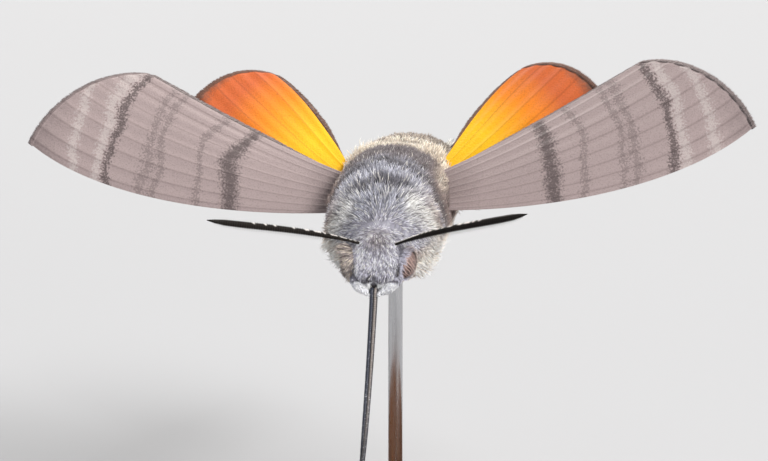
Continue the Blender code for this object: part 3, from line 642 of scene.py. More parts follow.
class Recipe:
    """The nodes of one material, added one after another to its Principled BSDF."""

    def __init__(self, name, roughness, **sockets):
        self.material = bpy.data.materials.new(name)
        self.material.use_nodes = True
        self.tree = self.material.node_tree
        self.shader = self.tree.nodes["Principled BSDF"]
        self.shader.inputs["Roughness"].default_value = roughness
        for socket, value in sockets.items():
            self.shader.inputs[socket.replace("_", " ")].default_value = value
        self.places = self.add("TexCoord").outputs["Object"]

    def add(self, kind, **settings):
        """A node with its settings."""
        node = self.tree.nodes.new("ShaderNode" + kind)
        for key, value in settings.items():
            setattr(node, key, value)
        return node

    def feed(self, socket, value):
        """Links a socket, or sets it to a plain value."""
        if isinstance(value, bpy.types.NodeSocket):
            self.tree.links.new(value, socket)
        else:
            socket.default_value = value

    def mapped(self, scale=(1, 1, 1), turn=(0, 0, 0), source=None):
        """Places, turned and then stretched."""
        node = self.add("Mapping")
        self.feed(node.inputs["Vector"], source or self.places)
        self.feed(node.inputs["Scale"], scale)
        self.feed(node.inputs["Rotation"], [math.radians(angle) for angle in turn])
        return node.outputs["Vector"]

    def noise(self, scale, detail=3.0, source=None, distortion=0.0):
        """Soft noise, 0 to 1."""
        node = self.add("TexNoise")
        self.feed(node.inputs["Vector"], source or self.places)
        self.feed(node.inputs["Scale"], scale)
        self.feed(node.inputs["Detail"], detail)
        self.feed(node.inputs["Distortion"], distortion)
        return node.outputs["Fac"]

    def cells(self, scale):
        """Distance in a pattern of cells."""
        node = self.add("TexVoronoi")
        self.feed(node.inputs["Vector"], self.places)
        self.feed(node.inputs["Scale"], scale)
        return node.outputs["Distance"]

    def waves(self, scale, distortion, source=None, **settings):
        """Bands of a wave."""
        node = self.add("TexWave", **settings)
        self.feed(node.inputs["Vector"], source or self.places)
        self.feed(node.inputs["Scale"], scale)
        self.feed(node.inputs["Distortion"], distortion)
        return node.outputs["Fac"]

    def spread(self, value, low, high, out_low=0.0, out_high=1.0):
        """A value stretched from one range to another."""
        node = self.add("MapRange")
        sockets = ("Value", "From Min", "From Max", "To Min", "To Max")
        for socket, number in zip(sockets, (value, low, high, out_low, out_high)):
            self.feed(node.inputs[socket], number)
        return node.outputs["Result"]

    def sum(self, first, second, operation="ADD"):
        """Two values worked together."""
        node = self.add("Math", operation=operation)
        self.feed(node.inputs[0], first)
        self.feed(node.inputs[1], second)
        return node.outputs[0]

    def ramp(self, value, stops):
        """Colours along a value, as (place, colour) stops."""
        node = self.add("ValToRGB")
        elements = node.color_ramp.elements
        while len(elements) < len(stops):
            elements.new(1.0)
        for element, (place, colour) in zip(elements, stops):
            element.position = place
            element.color = (*colour, 1.0)
        self.feed(node.inputs["Fac"], value)
        return node.outputs["Color"]

    def mix(self, share, first, second, mode="MIX"):
        """Two colours blended by a share."""
        node = self.add("Mix", data_type="RGBA", blend_type=mode)
        colours = [socket for socket in node.inputs if socket.type == "RGBA"]
        self.feed(node.inputs["Factor"], share)
        self.feed(colours[0], first)
        self.feed(colours[1], second)
        return next(socket for socket in node.outputs if socket.type == "RGBA")

    def shaded(self, colour, shade):
        """A colour made darker or lighter by a shade about 1."""
        return self.mix(1.0, colour, self.mix(shade, (0, 0, 0, 1), (1, 1, 1, 1)), "MULTIPLY")

    def own_tint(self):
        """The colours kept in the piece's mesh."""
        return self.add("Attribute", attribute_name="Tint").outputs["Color"]

    def bump(self, height, distance, strength):
        """Raises the surface by a height."""
        node = self.add("Bump")
        self.feed(node.inputs["Height"], height)
        self.feed(node.inputs["Distance"], distance)
        self.feed(node.inputs["Strength"], strength)
        self.feed(self.shader.inputs["Normal"], node.outputs["Normal"])

    def paint(self, colour):
        """Sets the base colour."""
        self.feed(self.shader.inputs["Base Color"], colour)
        return self.material


def fur_finish(name):
    """Hair and scales: the piece's own tint, mottled by fine noise, with a soft sheen."""
    recipe = Recipe(name, 0.75, Specular_IOR_Level=0.25, Sheen_Weight=0.18, Sheen_Roughness=0.45)
    speckle = recipe.spread(recipe.noise(FUR_GRAIN, 4.0), 0.3, 0.7, 0.78, 1.2)
    patches = recipe.spread(recipe.noise(FUR_GRAIN / 6, 2.0), 0.3, 0.7, 0.9, 1.1)
    recipe.bump(recipe.noise(FUR_GRAIN * 1.6, 3.0), 0.00002, 0.6)
    return recipe.paint(recipe.shaded(recipe.own_tint(), recipe.sum(speckle, patches, "MULTIPLY")))


def horn_finish(name, roughness, specular):
    """Horn: the piece's own tint with fine pits and a quiet gloss."""
    recipe = Recipe(name, roughness, Specular_IOR_Level=specular)
    pits = recipe.noise(HORN_GRAIN, 3.0)
    recipe.bump(pits, 0.00003, 0.5)
    return recipe.paint(recipe.shaded(recipe.own_tint(), recipe.spread(pits, 0.3, 0.7, 0.75, 1.25)))


def head_matrix():
    """The turn of the head, and its centre, as rows for numpy."""
    turn = Euler([math.radians(angle) for angle in HEAD_TURN_DEGREES], "XYZ").to_matrix()
    return np.array(turn), np.array(HEAD_CENTRE)


def in_head(points):
    """Points of the head's frame in the body frame."""
    turn, centre = head_matrix()
    return np.asarray(points, float) @ turn.T + centre


def to_head(points):
    """Points of the body frame in the head's own frame."""
    turn, centre = head_matrix()
    return (points - centre) @ turn


def abdomen_arc(t):
    """Centres, lines along and lines up at shares t of the abdomen's arc, whose slope grows evenly."""
    t = np.asarray(t, float)
    low, high = ABDOMEN_DROOP
    slope = low + (high - low) * t
    bend = ABDOMEN_LENGTH / (high - low)
    zero = np.zeros_like(t)
    back = bend * (np.sin(slope) - math.sin(low))
    sink = bend * (np.cos(slope) - math.cos(low))
    centre = ABDOMEN_START + np.stack([zero, back, sink], -1)
    level, rise = np.cos(slope), np.sin(slope)
    return centre, np.stack([zero, level, -rise], -1), np.stack([zero, rise, level], -1)


def abdomen_half_width(t):
    """Half width at shares t: from a slight waist to an even width, then tapering to the tail."""
    waist = 1 - ABDOMEN_WAIST * (1 - t) ** 4
    return ABDOMEN_HALF_WIDTH * waist * (1 - ABDOMEN_TAPER * t**ABDOMEN_TAPER_POWER)


def segment_edge(number):
    """The share of the abdomen's arc at which a segment begins."""
    return FIRST_SEGMENT_AT + (1 - FIRST_SEGMENT_AT) * number / SEGMENT_COUNT


def segment_place(t):
    """How far along its own segment a share of the arc is, 0 to 1."""
    return np.clip((t - FIRST_SEGMENT_AT) / (1 - FIRST_SEGMENT_AT) * SEGMENT_COUNT, 0, SEGMENT_COUNT) % 1.0


def thorax_axes():
    """The lines across and up the rolled thorax."""
    side, top = math.cos(THORAX_ROLL), math.sin(THORAX_ROLL)
    return np.array([side, 0, top]), np.array([-top, 0, side])


def skin_grid(coat):
    """The skin from the face to the tail as rings: oval rows of head, thorax and abdomen, less the
    coat's depth, joined by a smooth curve through them. The thorax is rolled. The face is pushed
    forward into a blunt muzzle, by a reach that dies away as exp(-x**4 - z**4)."""
    turn, _ = head_matrix()
    across, up = thorax_axes()
    sizes = HEAD_HALF_SIZES - coat.head_depth / MM
    rows = []
    for angle in np.radians(HEAD_RING_DEGREES):
        centre = in_head([0, -sizes[1] * math.cos(angle), 0])
        ring = sizes[[0, 2, 2]] * math.sin(angle)
        rows.append([*centre, *turn[:, 0], *turn[:, 2], *ring])
    depth = coat.thorax_depth / MM
    for y, half_width, top, bottom in smooth_rows(THORAX_PROFILE, 3):
        if y <= THORAX_USED_TO:
            rows.append([0, y, THORAX_AXIS_Z, *across, *up, half_width - depth, top - depth, bottom - depth])
    depth = coat.abdomen_depth / MM
    for t in np.linspace(ABDOMEN_USED_FROM, 1.0, 40):
        centre, _, up = abdomen_arc(t)
        swell = 1 + SEGMENT_STEP * (segment_place(t) - 0.5)
        half_width = abdomen_half_width(t) * swell - depth
        rows.append([*centre, *ACROSS, *up, half_width, *[half_width * ABDOMEN_FLATNESS] * 2])
    centre, along, up = abdomen_arc(1.0)
    for reach, share in TAIL_RINGS:
        ring = half_width * share
        rows.append([*(centre + along * reach), *ACROSS, *up, ring, *[ring * ABDOMEN_FLATNESS] * 2])
    rows = smooth_rows(rows, 3)
    across, up = unit(rows[:, 3:6]), unit(rows[:, 6:9])
    grid = rings(rows[:, 0:3], across, up, *rows[:, 9:12].T, SKIN_SIDES)
    own = to_head(grid)
    wide, high = MUZZLE_HALF_SIZES
    middle = MUZZLE_MIDDLE_Z + MUZZLE_CORNERS_UP * np.abs(own[..., 0])
    x, z = own[..., 0] / wide, (own[..., 2] - middle) / high
    push = MUZZLE_REACH * np.exp(-(x**4) - z**4) * smooth_step(-own[..., 1], 0.3, 1.5)
    return grid - turn[:, 1] * push[..., None]


def head_tint(points, coat, head, marked=1.0):
    """The markings of the head in its own frame: grey face, a dark bracket down each side of the
    muzzle, partly dark scales and partly painted shadow of the gap between palp and cheek, a broken
    line from foot to foot, a slot under a dark curl at the middle, painted shade in the gap where the
    feeding tube comes out, white below and pinkish cheeks. Marked 0 leaves the brackets and the slot out."""
    own = to_head(points)
    x, y, z = np.abs(own[..., 0]), own[..., 1], own[..., 2]
    face, cheek, chest, brown = colours(coat, "face", "cheek", "chest", "flank")
    white, dark = colours(head, "palp_under", "palp_line_and_shadow")
    wave = ripple(points, (0.5, 0.33, 0.21), 7)
    beside = 1.49 - 0.07 * z + 0.13 * (own[..., 0] > 0)
    level = z + 0.666 * np.minimum(y, -2.0) + 2.26
    front = smooth_step(-y, 1.3, 1.8)
    layers = (
        (brown * 0.85, 0.6 * hill(np.hypot(x, y + 0.9), 0, 0.9) * smooth_step(z, 1.0, 1.8)),
        (dark, 0.42 * smooth_step(wave, 0.05, 0.6)),
        (white, 0.4 * smooth_step(-wave, 0.1, 0.6)),
        (cheek, smooth_step(x - beside, 0.08, 0.35) * smooth_step(0.5 - z, 0.0, 0.6)),
        (white, smooth_step(-level, -0.05, 0.06) * front * smooth_step(beside + 0.4 - x, 0, 0.3)),
        (chest, smooth_step(-z, 0.6, 1.2) * (1 - front)),
    )
    tall = smooth_step(level, -0.15, 0.0) * smooth_step(0.75 - z, 0, 0.25)
    # Bracket: partly dark scales, partly painted shadow of the gap between palp and cheek
    bracket = hill(x - beside, 0, 0.12) * tall * front
    broken = 0.85 * hill(level, 0.08, 0.09) * smooth_step(-y, 2.0, 2.5) * smooth_step(wave, -0.25, 0.15)
    # Slot: painted shade in the gap between the palps where the feeding tube comes out
    slot = smooth_step(0.34 - x, 0, 0.12) * smooth_step(-level, 0.12, 0.22) * smooth_step(-y, 2.6, 2.9)
    curl = hill(np.hypot(own[..., 0] + 0.17, level - 0.22), 0.26, 0.08) * (level > 0) * (y < -2.6)
    marks = broken + marked * (bracket + np.maximum(slot, curl))
    return shaded(layered(face, layers), dark, np.clip(marks, 0, 1))


def body_tint(points, coat, head):
    """The markings of the body by place: grey thorax with dark bands, the front one painted shade in a hollow
    across the thorax, a cream fringe that is partly pale hair tips and partly painted backlight, cream wool,
    whitish neck hair made whiter as painted light, and a dark tail.
    """
    y, z = points[..., 1], points[..., 2]
    x, up = ((points @ axis) for axis in thorax_axes())
    x = np.abs(x)
    thorax, flank, band, violet = colours(coat, "thorax", "flank", "band", "violet")
    chest, cream, abdomen, black, white = colours(coat, "chest", "cream", "abdomen", "black", "white")
    wave = ripple(points, (3.1, 1.7, 0.9), 5)
    shift = y + 0.35 * wave + 0.05 * x * x
    t = (y - ABDOMEN_START[1]) / ABDOMEN_LENGTH
    frost = hill(x, 2.7, 1.1) * hill(y, -4.1, 0.9) * smooth_step(up, -0.8, 0.6)
    wrap = smooth_step(x, 2.9, 3.7) * smooth_step(shift, -0.7, 0.5) * smooth_step(z, 1.0, 2.0)
    axis = -0.3 - np.clip(y - 3, 0, 20) * 0.27
    wool = chest * (1 - 0.25 * smooth_step(t, 0.3, 0.7))[..., None]
    ruff = hill(y, -4.0, 1.0) * smooth_step(x, 2.3, 2.9) * hill(up, -1.9, 1.0)
    # Whitish neck hair made whiter: partly its own colour, partly painted light against the shade under the
    # head
    collar = 0.6 * hill(y, -4.9, 0.7) * smooth_step(x, 1.4, 2.2)
    layers = (
        (flank, smooth_step(x, 2.2, 4.0)),
        (white, np.clip(0.5 * frost * (0.7 + 0.9 * wave), 0, 1)),
        # This front band is painted shade in the hollow across the thorax
        (band, 0.9 * hill(shift, -3.35, 0.5) * smooth_step(3.1 - x, 0, 1.5)),
        (thorax * 1.1, 0.8 * hill(shift, -2.4, 0.4)),
        (band, 0.95 * hill(shift, -1.3, 0.6)),
        (violet, smooth_step(shift, -1.0, 0.0)),
        (flank, 0.75 * smooth_step(x, 2.6, 3.8) * smooth_step(shift, -1.6, -0.4)),
        # Cream: partly pale hair tips, partly painted backlight along the top edge
        (cream, np.maximum(smooth_step(shift, 2.1, 3.3), 0.75 * wrap)),
        (abdomen, 0.85 * smooth_step(t, 0.34, 0.5) * smooth_step(3.2 - x, 0, 1.2)),
        (white, 0.6 * hill(t, 0.52, 0.16) * smooth_step(x, 3.0, 3.6)),
        (abdomen * 0.6, smooth_step(t, 0.2, 0.3) * hill(segment_place(t), 0.96, 0.1) * 0.6),
        (black, smooth_step(t, 0.84, 0.9)),
        (wool, smooth_step(axis - z + 0.3 * wave, 0.0, 1.3)),
        (white, np.maximum(0.9 * ruff, collar)),
    )
    return shaded(head_tint(points, coat, head), layered(thorax, layers), smooth_step(y, -5.6, -4.4))


def eye_middle(sign):
    """The middle of an eye in the head's own frame."""
    return mirrored(EYE_CENTRE, sign)


def hinge_place(sign):
    """Where a forewing is hinged to the rolled thorax."""
    return mirrored(HINGE, sign) + UP * HINGE_LEAN * sign


def coat_lie(roots):
    """The way the hairs lie: out from the crown over the head and the front of the thorax, then back."""
    crown = in_head(CROWN)
    away = unit(roots.point - crown)
    share = smooth_step(roots.point[:, 1], -4.6, -1.0)
    return shaded(away, roots.along, share)


def clear_of_eyes(points, margin):
    """True where a point is outside both eyes, each grown by a margin."""
    own = to_head(points)
    clear = np.ones(len(points), bool)
    for _, sign in SIDES:
        clear &= np.linalg.norm((own - eye_middle(sign)) / (EYE_HALF_SIZES + margin), axis=1) > 1
    return clear


def coat_part(grid, coat, head, count, low, high, facing, seed):
    """The tufts between two places along Y: short on the face, long on the thorax, woolly below.

    Facing above 0 keeps those that grow upwards, below 0 those that grow downwards, and 0 both.
    """
    rng = np.random.default_rng(seed)
    middle = grid.mean(1)[:, 1]
    inside = ((middle >= low - 2.5) & (middle < high)).astype(float)
    roots = scatter(grid, count * 3, inside, rng)
    y = roots.point[:, 1]
    chosen = (y >= low) & (y < min(high, abdomen_arc(1.0)[0][1] + 0.9)) & clear_of_eyes(roots.point, 0.02)
    chosen &= roots.normal[:, 2] * facing > -0.15
    own = to_head(roots.point)
    chosen &= (np.abs(own[:, 0]) > 0.1) | (own[:, 1] > -2.6) | (own[:, 2] > -0.05)
    roots = kept(roots, rng.permutation(np.flatnonzero(chosen))[:count])
    x, y, z = roots.point.T
    on_head = 1 - smooth_step(y, -5.9, -4.3)
    rear = smooth_step(y, 3.4, 5.5)
    under = smooth_step(-roots.normal[:, 2], -0.2, 0.6)
    beside = hill(y, -3.9, 1.5) * smooth_step(-roots.normal[:, 2], -0.35, 0.25)
    beside = beside * smooth_step(np.abs(x), 1.0, 2.4)
    length = (coat.thorax_hair + (coat.chest_hair - coat.thorax_hair) * under) / MM
    length = length + (coat.cheek_hair / MM - length) * beside
    length = length + (coat.abdomen_hair / MM - length) * rear
    length = length + (coat.face_hair / MM - length) * on_head
    flare = hill(y, 3.4, 1.3) * smooth_step(np.abs(x), 0.9, 2.6) * smooth_step(roots.normal[:, 2], -0.3, 0.2)
    length = length + 1.0 * flare
    clump = ripple(roots.point, (1.3, 0.8, 0.55), 12)
    length = length * rng.uniform(0.7, 1.25, len(y)) * (1 + (0.2 + 0.25 * beside) * clump)
    angle = (0.3 + 0.5 * beside) * ripple(roots.point, (2.1, 1.2, 0.7), 13) + rng.normal(0, 0.2, len(y))
    lie = swung(coat_lie(roots), roots.normal, angle)
    for _, sign in SIDES:
        near = np.exp(-np.sum((roots.point - hinge_place(sign)) ** 2, 1) / HINGE_TUFT_REACH**2)
        lie = shaded(lie, np.array([0.7 * sign, 0.6, 0.4]), near)
        length = length * (1 + 0.7 * near)
    sleek = smooth_step(x, 2.2, 3.6) * smooth_step(-y, -0.5, 1.0) * smooth_step(z, -2.6, -1.2)
    sleek = sleek * (1 - on_head)
    length = length * (1 - 0.3 * sleek)
    rise = 25 + 6 * under + 12 * beside + 22 * flare - 7 * on_head - 4 * rear
    rise = rise + (7 + 9 * beside) * clump - 16 * sleek
    rise = np.radians(np.maximum(rise, 8) + rng.normal(0, 5, len(y)))
    width = coat.hair_width / MM * rng.uniform(0.7, 1.2, len(y)) * (1 - 0.2 * on_head)
    bright = (1 + rng.normal(0, 0.2, len(y)) * (1 + 0.5 * on_head)) * (1 + (0.14 + 0.22 * beside) * clump)
    middle = roots.point + unit(lie) * (0.5 * length)[:, None]
    tints = body_tint(middle, coat, head) * np.clip(bright, 0.4, 1.6)[:, None]
    pale = rng.random(len(y)) < 0.13 - 0.1 * smooth_step(y, -4.2, -2.5)
    tints[pale] = shaded(tints[pale], np.array(coat.white), 0.6)
    # Pale tufts painted lighter: painted light that lifts them out of the shade under the body
    tints = tints * (1 + 0.35 * smooth_step(tints.mean(1), 0.45, 0.8))[:, None]
    return tufts(roots, lie, length, width, rise, tints)


def eye_rim(sign, coat, count, longer, seed):
    """Tufts rooted where an eye comes out of the head, leaning over its edge on every side.

    A point of the eye is its middle + its half sizes * (cos a, -sin a cos b, sin a sin b), with a
    measured from its outer pole, and the edge is the first a at which that point is in the skin.
    """
    rng = np.random.default_rng(seed)
    turn, _ = head_matrix()
    skin = HEAD_HALF_SIZES - coat.head_depth / MM
    middle = eye_middle(sign)
    b = (np.arange(count) + rng.random(count)) / count * math.tau

    def out(a, b):
        return np.stack([sign * np.cos(a) + 0 * b, -np.sin(a) * np.cos(b), np.sin(a) * np.sin(b)], -1)

    tries = np.radians(np.arange(40, 131))
    places = middle + out(tries[None, :], b[:, None]) * EYE_HALF_SIZES
    edge = tries[np.argmax(np.sum((places / skin) ** 2, -1) < 1, axis=1)]
    a = edge + np.radians(rng.uniform(-4, 12, count))
    point = middle + out(a, b) * (EYE_HALF_SIZES + 0.03)
    normal = unit(out(a, b) / EYE_HALF_SIZES)
    inwards = -(out(a + 0.01, b) - out(a, b)) * EYE_HALF_SIZES
    drop = np.array([0, -0.1, -0.55 if sign > 0 else -1.0])
    lie = unit(unit(inwards) + drop + rng.normal(0, 0.18, (count, 3)))
    over = np.maximum(0, np.cos(b - math.radians(55)))
    length = (0.42 + 0.42 * over) * rng.uniform(0.6, 1.25, count) * longer
    roots = Roots(in_head(point), normal @ turn.T, lie @ turn.T, np.full(count, 0.1), b / math.tau)
    behind = smooth_step(-np.cos(b), -0.5, 0.6) if sign > 0 else 0.85
    shade = shaded(*colours(coat, "face", "cheek"), behind)
    tints = shade * rng.uniform(0.6, 1.3, count)[:, None] * (1.0 if sign > 0 else 0.6)
    streaks = (rng.random(count) < 0.35) & (sign < 0)
    tints[streaks] = np.array(coat.chest) * rng.uniform(0.8, 1.2, (streaks.sum(), 1))
    rise = np.radians(rng.uniform(12, 36, count))
    return tufts(roots, lie @ turn.T, length, rng.uniform(0.022, 0.034, count), rise, tints)


class MOTH_OT_body_coat(bpy.types.Operator):
    """Makes the skin of the head, thorax and abdomen as one surface, and its coat of fine tufts."""

    bl_idname = "moth.body_coat"
    bl_label = "Body and coat"

    def execute(self, context):
        coat, head = context.scene.moth_coat, context.scene.moth_head
        grid = skin_grid(coat)
        # The skin is darkened as painted shade under the coat
        tints = body_tint(grid, coat, head) * SKIN_PAINTED_SHADE
        finish = fur_finish("body skin")
        nodes = ("head", "thorax", "abdomen_front", "abdomen_rear")
        make_piece("body_skin", [capped_tube(grid, tints)], finish, nodes)
        fur = fur_finish("body fur")
        for name, hairs, low, high, facing, seed, slot in COATS:
            part = coat_part(grid, coat, head, getattr(coat, hairs), low, high, facing, seed)
            make_piece(name, [part], fur, map_name="OFBake")
        for side, sign in SIDES:
            part = eye_rim(sign, coat, EYE_RIM_HAIRS, EYE_HAIR_LONGER[side], 43 + sign)
            make_piece("eye_rim_" + side, [part], fur, map_name="OFBake")
        return {"FINISHED"}


def bundle(count, root, aim, flat, spread, length, width, tints, rng, fan):
    """A flat lock of long scales: roots side by side over its width, each aimed outwards by its place."""
    across = np.cross(aim, flat)
    place = rng.uniform(-1, 1, count)
    depth = rng.uniform(-1, 1, count)
    point = root + across * (place * spread)[:, None] + flat * (depth * 0.18)[:, None]
    point = point - aim * rng.uniform(0.0, 0.5, count)[:, None]
    lie = aim + across * (place * fan + rng.normal(0, 0.07, count))[:, None]
    lie = lie + flat * rng.normal(0, 0.08, count)[:, None]
    normal = np.broadcast_to(flat, point.shape) + across * rng.normal(0, 0.35, count)[:, None]
    lie = unit(lie)
    normal = unit(normal - lie * dot(normal, lie))
    shorter = 1 - 0.25 * place * place
    roots = Roots(point, normal, lie, rng.random(count), rng.random(count))
    long = length * shorter * rng.uniform(0.8, 1.05, count)
    return tufts(roots, lie, long, width * rng.uniform(0.7, 1.2, count), 0.0, tints, deep=0.3)


class MOTH_OT_side_tufts(bpy.types.Operator):
    """Makes the white and black tufts that stand out along both sides of the abdomen."""

    bl_idname = "moth.side_tufts"
    bl_label = "Side tufts"

    def execute(self, context):
        coat = context.scene.moth_coat
        rng = np.random.default_rng(53)
        parts = []
        for _, sign in SIDES:
            for number, flare_degrees in TUFT_FLARE_DEGREES.items():
                flare = math.radians(flare_degrees)
                t = segment_edge(number + TUFT_PLACE)
                centre, along, up = abdomen_arc(t)
                for degrees in TUFT_ANGLES:
                    angle = math.radians(degrees)
                    outward = ACROSS * sign * math.cos(angle) + up * math.sin(angle)
                    wide = abdomen_half_width(t) - 0.45
                    root = centre + ACROSS * sign * wide * math.cos(angle)
                    root = root + up * wide * ABDOMEN_FLATNESS * math.sin(angle)
                    aim = unit(along * math.cos(flare) + outward * math.sin(flare))
                    flat = unit(outward - aim * dot(aim, outward))
                    pale = number in (3, 4)
                    base = np.array(coat.white if pale else coat.black)
                    tints = base * rng.uniform(0.8, 1.1, TUFT_SCALES)[:, None]
                    mixed = rng.random(TUFT_SCALES) < 0.1
                    tints[mixed] = np.array(coat.black if pale else coat.cream) * 0.9
                    parts.append(bundle(TUFT_SCALES, root, aim, flat, *TUFT_SIZES, tints, rng, 0.22))
        make_piece("side_tufts", parts, fur_finish("tuft scales"), map_name="OFBake")
        return {"FINISHED"}


class MOTH_OT_tail_fan(bpy.types.Operator):
    """Makes the tail fan, layers of long black scales with pale ones at its sides."""

    bl_idname = "moth.tail_fan"
    bl_label = "Tail fan"

    def execute(self, context):
        coat = context.scene.moth_coat
        rng = np.random.default_rng(71)
        centre, along, up = abdomen_arc(1.0)
        wide = abdomen_half_width(1.0)
        parts = []
        for tier, (lift, tilt, count) in enumerate(FAN_TIERS):
            for share in np.linspace(-1, 1, count):
                swing = FAN_SPREAD * share
                rise = math.radians(tilt)
                level = along * math.cos(swing) + ACROSS * math.sin(swing)
                aim = level * math.cos(rise) + up * math.sin(rise)
                root = centre + along * 0.35 + ACROSS * wide * 0.72 * share + up * lift
                flat = unit(up - aim * dot(aim, up))
                tints = np.array(coat.black) * rng.uniform(0.7, 1.6, FAN_SCALES)[:, None]
                if abs(share) > 0.85:
                    tints[::2] = np.array(coat.white) * 0.85
                long = FAN_LENGTH * (1 - 0.14 * share * share) * (1 - 0.1 * abs(tier - 2))
                parts.append(bundle(FAN_SCALES, root, aim, flat, 0.3, long, 0.085, tints, rng, 0.1))
        make_piece("tail_scales", parts, fur_finish("tail scales"), ("tail_fan",), "OFBake")
        return {"FINISHED"}


def eye_finish(head):
    """A compound eye: pinkish brown, crossed by dark slashes that fade upwards, with fine facets."""
    recipe = Recipe("compound eye", 0.5, Specular_IOR_Level=0.35)
    slanted = recipe.mapped(turn=(30, -48, 0))
    slashes = recipe.waves(1750, 6.0, slanted, wave_type="BANDS", bands_direction="Z", wave_profile="SIN")
    apart = recipe.add("SeparateXYZ")
    recipe.feed(apart.inputs[0], recipe.places)
    middle = (in_head(eye_middle(1))[2] + BODY_PLACE[2]) * MM
    low = recipe.spread(apart.outputs["Z"], middle - 0.5 * MM, middle + 0.7 * MM, 1.0, 0.25)
    patches = recipe.spread(recipe.noise(2600, 3.0), 0.38, 0.6, 0.6, 1.4)
    dark = recipe.sum(recipe.sum(recipe.spread(slashes, 0.1, 0.3), low, "MULTIPLY"), patches, "MULTIPLY")
    colour = recipe.mix(dark, (*head.eye, 1), (*head.eye_stripe, 1))
    facets = recipe.cells(26000)
    recipe.bump(facets, 0.000012, 0.8)
    return recipe.paint(recipe.mix(recipe.spread(facets, 0.2, 0.8, 0.0, 0.3), colour, (*head.eye_stripe, 1)))


class MOTH_OT_eyes(bpy.types.Operator):
    """Makes the two compound eyes, eggs set in the sides of the head."""

    bl_idname = "moth.eyes"
    bl_label = "Eyes"

    def execute(self, context):
        finish = eye_finish(context.scene.moth_head)
        angle = np.linspace(0.0, math.pi, EYE_RINGS + 2)[1:-1, None]
        turn = np.arange(EYE_SIDES) * math.tau / EYE_SIDES
        wide, high = np.sin(angle) * np.cos(turn), np.sin(angle) * np.sin(turn)
        egg = np.stack(np.broadcast_arrays(wide, -np.cos(angle), high), -1)
        for side, sign in SIDES:
            centre = eye_middle(sign)
            grid = in_head(centre + egg * EYE_HALF_SIZES)
            ends = in_head(centre + np.array([[0, -1, 0], [0, 1, 0]]) * EYE_HALF_SIZES)
            make_piece("compound_eye_" + side, [closed_tube(grid, *ends)], finish, ("eye_" + side,))
        return {"FINISHED"}


def tube_grid(points, radii, side, sides, count, height=1.0):
    """Rings along a smooth path, with radii read evenly along it."""
    path = even_path(smooth_rows(points, 12), count)
    _, across, up = path_frame(path, side)
    shares = np.linspace(0, 1, count)
    radius = np.interp(shares, np.linspace(0, 1, len(radii)), radii)
    return rings(path, across, up, radius, radius * height, radius * height, sides), path


class MOTH_OT_palps(bpy.types.Operator):
    """Makes the furry palps in front of the face, which lean so that they meet in a white keel below."""

    bl_idname = "moth.palps"
    bl_label = "Palps"

    def execute(self, context):
        coat, head = context.scene.moth_coat, context.scene.moth_head
        finish = fur_finish("palp fur")
        turn, _ = head_matrix()
        for side, sign in SIDES:
            rng = np.random.default_rng(97 + sign)
            path = in_head([mirrored(point, sign) for point in PALP_PATH])
            across = np.array([math.cos(PALP_LEAN), 0, -sign * math.sin(PALP_LEAN)])
            grid, middle = tube_grid(path, PALP_RADII, across, 40, 60, PALP_HEIGHT)
            # The palp skin is darkened by 0.6: painted shade under its hair
            skin = capped_tube(grid, head_tint(grid, coat, head, 0.0) * 0.6)
            make_piece("palp_skin_" + side, [skin], finish, ("palp_" + side,))
            ends = np.linspace(1.0, 2.2, len(grid))
            roots = turned_away(scatter(grid, head.palp_hairs, ends, rng), grid, middle)
            count = len(roots.point)
            length = rng.uniform(0.3, 0.5, count)
            keelwards = turn @ np.array([-0.35 * sign, 0.0, -0.7])
            lie = swung(unit(roots.along + keelwards), roots.normal, rng.normal(0, 0.25, count))
            rise = np.radians(rng.uniform(14, 28, count))
            tints = head_tint(roots.point + lie * 0.2, coat, head, 0.0)
            tints = tints * rng.uniform(0.85, 1.2, count)[:, None]
            width = rng.uniform(0.022, 0.036, count)
            part = tufts(roots, lie, length, width, rise, tints, painted_light=PALP_PAINTED_LIGHT)
            make_piece("palp_coat_" + side, [part], finish, map_name="OFBake")
        return {"FINISHED"}


